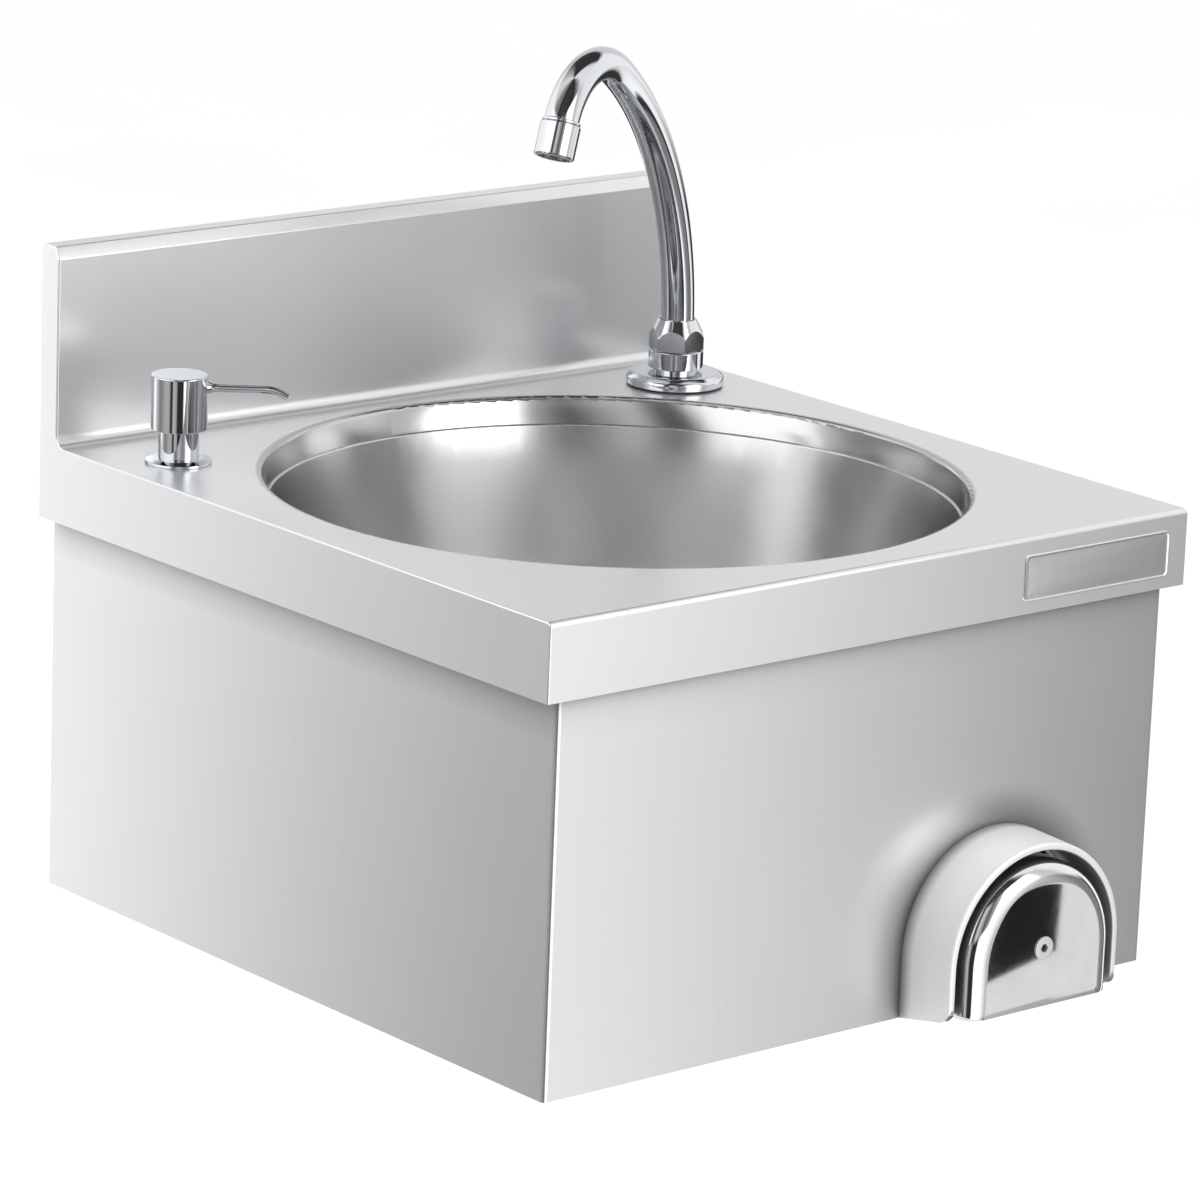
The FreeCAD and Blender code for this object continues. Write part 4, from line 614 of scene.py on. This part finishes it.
def make_tap():
    rose = width("tap_rose") / 2
    tube = 8.8
    bore = 7.6
    nut_foot = 19
    nut_turn = math.radians(8)
    spout_heading = math.radians(203)
    turned("tap_cover_plate", [
        (11.6, 1), (rose, 1, 0.4), (rose, 4.8, 2.8), (rose - 3, 7.3, 3), (13.5, 7.4),
        (11.6, 7.5),
    ], TAP, CHROME, BODY, ("tap_rose",))
    turned("tap_base", [
        (5, -46), (10, -46), (10, 1), (11.5, 1), (11.5, 9.3, 0.5), (14.3, 9.3, 0.5),
        (14.3, 18.7, 0.4), (11, 19), (11, 23), (8.85, 23), (8.85, 8.3), (5, 8.3),
    ], TAP, CHROME, BODY, ("tap_body",))
    nut_place = TAP @ Matrix.Translation((0, 0, nut_foot)) @ Matrix.Rotation(nut_turn, 4, "Z")
    hexagon_nut("spout_union_nut", 12.6, 9.2, 16, 9, 10, nut_place, CHROME, BODY,
                ("spout_nut",))
    turn_out = TAP @ Matrix.Rotation(spout_heading, 4, "Z")
    line = swan_neck(9.3)
    path = [(point, direction, tube) for point, direction in line]
    pipe("spout_pipe", path, bore, turn_out, CHROME, "spout", ("spout_tube",))
    tip, heading = line[-1]
    side = Vector((0, 1, 0))
    across = side.cross(heading)
    outlet = Matrix.Translation(tip) @ Matrix((across, side, heading)).transposed().to_4x4()
    outlet = turn_out @ outlet
    turned("spout_bead", [
        (tube - 0.4, -2.2), (tube + 0.2, -2.2), (tube + 0.9, -1.7, 0.4), (tube + 0.9, -0.7, 0.4),
        (tube + 0.2, -0.2), (tube - 0.4, -0.2),
    ], outlet, CHROME, "spout")
    turned("aerator_sleeve", [
        (6.4, 1.2), (9.2, 1.2), (9.2, 15.2), (8, 15.2), (8, 17), (9.6, 17, 0.4),
        (10.2, 16.2, 0.3), (10.2, 0, 0.5), (6.4, 0),
    ], outlet, CHROME, "spout", ("aerator_housing",))


# ---- soap pump ------------------------------------------------------------------------------

def make_pump():
    flange = width("pump_collar") / 2
    turned("pump_base", [
        (8.05, -26), (12, -26), (12, 0), (flange, 0, 0.3), (flange, 1.4, 0.5),
        (13, 2.7, 2), (10.05, 3), (10.05, 0), (8.05, 0),
    ], PUMP, CHROME, BODY, ("pump_collar",))
    turned("pump_sleeve", [
        (3.05, 0), (10, 0), (10, 26, 0.6), (3.05, 26),
    ], PUMP, CHROME, BODY, ("pump_neck",))
    turned("pump_cap", [
        (3.05, 38.5), (4.4, 38.5), (4.4, 41.5), (12.5, 41.5), (12.5, 17, 0.3),
        (13.9, 17, 0.3), (13.9, 44, 0.7), (0, 44), (0, 41.5), (3.05, 41.5),
    ], PUMP, CHROME, "pump_top", ("pump_head",))
    make_nozzle()


def make_nozzle():
    """Thin bent outlet, with a cone where it leaves the head."""
    level = 37.7
    face = 13.9
    root = 3.6
    pipe_radius = 2
    pipe_bore = 1
    straight = 41
    bend = 22
    droop = math.radians(32)
    nozzle_heading = math.radians(-39)
    steps = 16
    path = []
    for along, radius in ((face - 1, root), (face + 0.4, root - 0.5), (face + 1.6, 2.5),
                          (face + 3.2, pipe_radius + 0.1), (face + 5, pipe_radius)):
        path.append((Vector((along, 0, level)), Vector((1, 0, 0)), radius))
    for step in range(steps + 1):
        angle = droop * step / steps
        point = Vector((straight + bend * math.sin(angle), 0,
                        level + bend * (math.cos(angle) - 1)))
        path.append((point, Vector((math.cos(angle), 0, -math.sin(angle))), pipe_radius))
    aim = PUMP @ Matrix.Rotation(nozzle_heading, 4, "Z")
    pipe("pump_spout", path, pipe_bore, aim, CHROME, "pump_top", ("pump_nozzle",), faces=32)


# ---- knee valve -----------------------------------------------------------------------------

def arch_rows(section, foot_level):
    """Rows of a section carried up one leg, round the arch and down the other, on the panel.
    Each point of the section is a radius and a distance out of the panel."""
    crown_steps = 64
    leg_steps = 8
    rows = []
    for step in range(leg_steps):
        share = 1 - step / leg_steps
        rows.append([Vector((radius, foot_level(out) * share, out)) for radius, out in section])
    for step in range(crown_steps + 1):
        angle = math.pi * step / crown_steps
        rows.append([Vector((radius * math.cos(angle), radius * math.sin(angle), out))
                     for radius, out in section])
    for step in range(leg_steps):
        share = (step + 1) / leg_steps
        rows.append([Vector((-radius, foot_level(out) * share, out)) for radius, out in section])
    return [[GUARD @ point for point in row] for row in rows]


def make_guard():
    """Arched wall round the knee plate, with a flange inside it against the panel.  Its feet
    rise towards the front and end in a rounded toe."""
    depth = 33
    foot = -31
    slope = 6
    toe = 6

    def foot_level(out):
        past = max(out - (depth - toe), 0)
        lift = toe - math.sqrt(max(toe ** 2 - past ** 2, 0))
        return foot + slope * out / depth + lift

    section = rounded([
        (56.5, 0), (56, 10), (55.5, 22), (55.3, 27), (55.2, 29), (55.1, 30.9),
        (55, depth, 1.7), (51.4, depth, 0.8), (51.4, 31.5), (51.4, 29), (51.4, 27),
        (51.4, 2.5, 1.5), (42.4, 2.5, 0.4), (42.4, 0),
    ])
    mesh = skin("knee_guard_arch", arch_rows(section, foot_level), wrap_rows=False, caps=True)
    finish_piece("knee_guard_arch", mesh, BLASTED, BODY, ("knee_guard",))


def make_knee_plate():
    """Pressed plate: side wall, rolled edge and flat face, of one thickness all over."""
    back = 11.7
    reach = 46.6
    roll = 9
    foot = -25
    thickness = 1.5
    section = rounded([(reach, back), (reach, PLATE_FACE, roll),
                       (reach - roll * 1.2, PLATE_FACE)], closed=False, steps=14)
    mesh = skin("knee_plate_pressing", arch_rows(section, lambda out: foot),
                wrap_rows=False, wrap_columns=False, lid=True)
    towards_user = mesh.polygons[-1].normal.y < 0
    if not towards_user:
        mesh.flip_normals()
    piece = finish_piece("knee_plate_pressing", mesh, POLISHED, "knee_push", ("knee_plate",))
    sheet = piece.modifiers.new("sheet", "SOLIDIFY")
    sheet.thickness = thickness * MM
    sheet.offset = -1
    sheet.use_even_offset = True
    piece.modifiers.move(1, 0)


def make_knee_screw():
    """Countersunk head with a hexagon socket."""
    faces = 48
    head = 5.8
    half_flats = 2
    place = VALVE @ Matrix.Translation((0, 0, PLATE_FACE))
    rows = []
    for step in range(faces):
        angle = 2 * math.pi * step / faces
        side = hexagon_reach(half_flats, angle)
        rows.append(spoke(place, angle, [
            (0, -14), (3, -14), (3, -3), (head - 0.3, -0.1), (head, 0.2), (head - 0.2, 0.6),
            (head - 0.6, 0.7), (side + 0.2, 0.7), (side, 0.5), (side, -1.7), (0, -2.1),
        ]))
    mesh = skin("knee_plate_screw", rows)
    finish_piece("knee_plate_screw", mesh, TUMBLED, "knee_push", ("knee_screw",), crease=25)


# ---- everything that keeps its own solid ----------------------------------------------------

def make_hidden_fittings():
    """Pieces under the deck and inside the fittings, each in the material of the real one."""
    plain = {
        "waste_flange": POLISHED, "waste_strainer": POLISHED, "waste_screw": POLISHED,
        "waste_bridge": BRASS, "waste_gasket": RUBBER, "waste_nut": BRASS,
        "waste_slip_nut": CHROME, "waste_tailpiece": CHROME, "tap_seal": RUBBER,
        "spout_seals": RUBBER, "tap_fibre_washer": ACETAL, "tap_clamp_washer": POLISHED,
        "tap_lock_nut": BRASS, "pump_gasket": RUBBER, "pump_nut": ACETAL,
        "pump_cylinder": MILKY, "dip_tube": MILKY, "soap_bottle": MILKY, "valve_body": BRASS,
        "valve_nut": BRASS, "guard_screws": POLISHED,
    }
    for node, material in plain.items():
        own_solid(node, material, BODY)
    own_solid("feed_pipe", CHROME, BODY)
    own_solid("pipe_nuts", BRASS, BODY)
    own_solid("aerator_cartridge", ACETAL, "spout")
    own_solid("pump_rod", MILKY, "pump_plunger")
    own_solid("valve_stem", POLISHED, "knee_push")


def make_threads():
    """Screw threads, as three-cornered wires wound on the turned shanks: name, axis, lowest
    and highest level, radius, pitch and material."""
    sunk = 0.15
    shanks = [
        ("tap_shank_thread", TAP, low("tap_body").z, low("tap_seal").z - 4, 10, 1.3, CHROME),
        ("pump_shank_thread", PUMP, low("pump_collar").z, low("pump_gasket").z, 12, 1.5, CHROME),
        ("waste_thread", BOWL, low("waste_flange").z, low("waste_gasket").z, 20.9, 2, POLISHED),
    ]
    for name, axis, foot, head, radius, pitch, material in shanks:
        tall = head - foot - 2
        place = Matrix.Translation((axis.translation.x, axis.translation.y, foot + 1))
        wound(name, (radius - sunk, tall / pitch, tall, pitch * 0.3), 3, place, material, BODY)


def make_springs():
    """The two return springs.  Each rides with the piece that pushes it."""
    wire = 0.9
    coils = 6
    valve_coil = 8.5
    front, back = low("return_spring"), high("return_spring")
    length = back.y - front.y
    place = VALVE @ Matrix.Translation((0, 0, wire - PANEL - back.y))
    coil = wound("knee_return_spring", (valve_coil, coils, length - 2 * wire, wire), 10, place,
                 POLISHED, "knee_push", ("return_spring",))
    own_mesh(coil)
    foot, top = low("pump_spring"), high("pump_spring")
    tall = top.z - foot.z
    radius = width("pump_spring") / 2 - wire
    place = PUMP @ Matrix.Translation((0, 0, foot.z - DECK + wire))
    coil = wound("pump_return_spring", (radius, coils, tall - 2 * wire, wire), 10, place,
                 POLISHED, "pump_plunger", ("pump_spring",))
    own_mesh(coil)


# ---- studio ---------------------------------------------------------------------------------

def card(name, corners):
    """One flat sheet with four corners."""
    mesh = bpy.data.meshes.new(name)
    mesh.from_pydata(corners, [], [(0, 1, 2, 3)])
    return put_in_scene(name, mesh)


def show_only_in_reflections(screen, material):
    screen.data.materials.append(material)
    screen.visible_camera = False
    screen.visible_diffuse = False
    screen.visible_shadow = False
    screen.visible_transmission = False
    material.cycles.emission_sampling = "NONE"


def make_floor():
    """Matt white floor, at the height that a wall-hung basin has above it."""
    half = 40
    level = -0.72
    floor = card("studio_floor", [(-half, -half, level), (half, -half, level),
                                  (half, half, level), (-half, half, level)])
    material, tree, place = new_material("matt_white_floor")
    grain = add(tree, "ShaderNodeTexNoise", {"Vector": place, "Scale": 2.0, "Detail": 2.0})
    tint = tinted(tree, grain.outputs[0], "#FBFBFB", "#FFFFFF")
    paint = add(tree, "ShaderNodeBsdfDiffuse", {"Color": tint})
    close_material(tree, paint)
    floor.data.materials.append(material)


# Brightness of the reflector screens by compass angle, in degrees from +X towards +Y.
# The low row shows in upright faces, the high row in the deck and, by way of the deck, in the
# upstand.  The overhead row shows in the tops of the chrome and in the bowl.
LOW_SCREENS = [
    (-180, 0.6), (-174, 0.5), (-171, 0.05), (-164, 0.05), (-161, 0.7), (-149, 0.5),
    (-144, 0.04), (-122, 0.04), (-117, 2.0), (-90, 2.0), (-76, 1.4), (-64, 1.15), (-54, 0.7),
    (-48, 0.43), (-42, 0.3), (-25, 0.3), (-22, 0.05), (-17, 0.05), (-14, 1.5), (0, 1.2),
    (8, 0.05), (88, 0.05), (95, 1.7), (124, 1.65), (136, 0.75), (144, 0.45), (152, 0.3),
    (170, 0.6), (180, 0.6),
]
HIGH_SCREENS = [
    (-180, 2.0), (-166, 2.0), (-158, 0.1), (-148, 0.1), (-138, 0.9), (-126, 0.5),
    (-114, 0.1), (-98, 0.6), (-92, 3.2), (-62, 3.2), (-54, 0.9), (-45, 0.8), (-35, 1.2),
    (12, 1.3), (22, 0.9), (60, 0.85), (75, 0.7), (85, 1.3), (140, 1.5), (152, 2.0),
    (175, 2.0), (180, 2.0),
]
OVERHEAD_SCREENS = [
    (-180, 0.3), (-170, 0.05), (-75, 0.05), (-60, 0.4), (-45, 1.2), (-12, 1.1), (-2, 0.05),
    (75, 0.05), (90, 0.5), (115, 1.1), (138, 0.8), (158, 0.3), (180, 0.3),
]


def screen_row(tree, share, row):
    """Brightness round the dome: straight lines between the screens of one row."""
    shades = add(tree, "ShaderNodeFloatCurve", {"Value": share})
    curve = shades.mapping.curves[0]
    brightest = max(level for degrees, level in row)
    spots = [((degrees + 180) / 360, level / brightest) for degrees, level in row]
    curve.points[0].location = spots[0]
    curve.points[-1].location = spots[-1]
    for spot in spots[1:-1]:
        curve.points.new(*spot)
    for point in curve.points:
        point.handle_type = "VECTOR"
    shades.mapping.update()
    power = add(tree, "ShaderNodeMath", {0: shades.outputs[0], 1: brightest},
                operation="MULTIPLY")
    return power.outputs[0]


def make_screens():
    """A dome of light and dark screens round the basin, seen only in its reflections."""
    radius = 1.1
    work = bmesh.new()
    bmesh.ops.create_uvsphere(work, u_segments=96, v_segments=48, radius=radius)
    mesh = bpy.data.meshes.new("reflector_dome")
    work.to_mesh(mesh)
    work.free()
    dome = put_in_scene("reflector_dome", mesh)
    dome.location = (0, -0.2, 0.1)
    material, tree, place = new_material("reflector_cloth")
    apart = add(tree, "ShaderNodeSeparateXYZ", {"Vector": place})
    angle = add(tree, "ShaderNodeMath", {0: apart.outputs["Y"], 1: apart.outputs["X"]},
                operation="ARCTAN2")
    share = add(tree, "ShaderNodeMapRange",
                {"Value": angle.outputs[0], "From Min": -math.pi,
                 "From Max": math.pi}).outputs["Result"]
    rise = apart.outputs["Z"]
    to_high = add(tree, "ShaderNodeMapRange",
                  {"Value": rise, "From Min": -0.02, "From Max": 0.10}).outputs["Result"]
    to_overhead = add(tree, "ShaderNodeMapRange",
                      {"Value": rise, "From Min": 0.72, "From Max": 0.80}).outputs["Result"]
    upright = add(tree, "ShaderNodeMix",
                  {"Factor": to_high, "A": screen_row(tree, share, LOW_SCREENS),
                   "B": screen_row(tree, share, HIGH_SCREENS)}).outputs[0]
    power = add(tree, "ShaderNodeMix",
                {"Factor": to_overhead, "A": upright,
                 "B": screen_row(tree, share, OVERHEAD_SCREENS)}).outputs[0]
    glow = add(tree, "ShaderNodeEmission", {"Strength": power})
    close_material(tree, glow)
    show_only_in_reflections(dome, material)


def make_flags():
    """A black card and a white one in front of the knee plate, seen only in its face.  Each
    corner lies where the camera's mirror image looks through a point of the face."""
    face = low("knee_plate").y
    eye = CAMERA_SPOT / MM
    behind = Vector((eye.x, 2 * face - eye.y, eye.z))
    cards = [
        ("black_flag", -610, 0.02, ((-40, -7), (-34, 46), (10, 36), (8, 2))),
        ("white_flag", -625, 1.0, ((-42, -27), (-42, 40), (47, 40), (47, -27))),
    ]
    for name, level, brightness, outline in cards:
        corners = []
        for across, up in outline:
            on_face = Vector((STEM.x + across, face, GUARD.translation.z + up))
            share = (level - behind.y) / (on_face.y - behind.y)
            corners.append((behind + (on_face - behind) * share) * MM)
        flag = card(name, corners)
        material, tree, place = new_material(name + "_cloth")
        weave = add(tree, "ShaderNodeTexNoise", {"Vector": place, "Scale": 100.0, "Detail": 2.0})
        glow = between(tree, weave.outputs[0], brightness * 0.9, brightness * 1.1)
        close_material(tree, add(tree, "ShaderNodeEmission", {"Strength": glow}))
        show_only_in_reflections(flag, material)


def make_lights():
    """A white room, a large soft key from the front left and a smaller one from behind."""
    world = bpy.data.worlds.new("studio")
    world.use_nodes = True
    background = world.node_tree.nodes["Background"]
    background.inputs["Color"].default_value = (1, 1, 1, 1)
    background.inputs["Strength"].default_value = 1.0
    bpy.context.scene.world = world
    bpy.context.scene.view_settings.view_transform = "Standard"
    target = Vector((0, -0.2, 0.1))
    lamps = [
        ("key_softbox", (-1.2, -1.8, 2.6), 1.8, 25),
        ("back_softbox", (0.8, 1.4, 2.4), 1.4, 12),
    ]
    for name, spot, size, power in lamps:
        light = bpy.data.lights.new(name, "AREA")
        light.shape = "SQUARE"
        light.size = size
        light.energy = power
        lamp = put_in_scene(name, light)
        lamp.location = spot
        lamp.rotation_mode = "QUATERNION"
        lamp.rotation_quaternion = (target - Vector(spot)).to_track_quat("-Z", "Y")


def make_camera():
    """Long lens from the front left, looking down, with the photo's slight roll."""
    yaw = math.radians(40.16)
    pitch = math.radians(14.93)
    roll = math.radians(2.21)
    ahead = Vector((math.sin(yaw) * math.cos(pitch), math.cos(yaw) * math.cos(pitch),
                    -math.sin(pitch)))
    right = Vector((math.cos(yaw), -math.sin(yaw), 0))
    up = right.cross(ahead)
    tilted_right = right * math.cos(roll) + up * math.sin(roll)
    tilted_up = up * math.cos(roll) - right * math.sin(roll)
    turn = Matrix((tilted_right, tilted_up, -ahead)).transposed().to_4x4()
    camera = put_in_scene("camera", bpy.data.cameras.new("camera"))
    camera.matrix_world = Matrix.Translation(CAMERA_SPOT) @ turn
    camera.data.lens = 184.12
    camera.data.sensor_width = 36
    camera.data.clip_end = 100
    bpy.context.scene.camera = camera


make_sheet_metal()
make_bare_plate()
make_tap()
make_pump()
make_guard()
make_knee_plate()
make_knee_screw()
make_hidden_fittings()
make_threads()
make_springs()
make_floor()
make_screens()
make_flags()
make_lights()
make_camera()
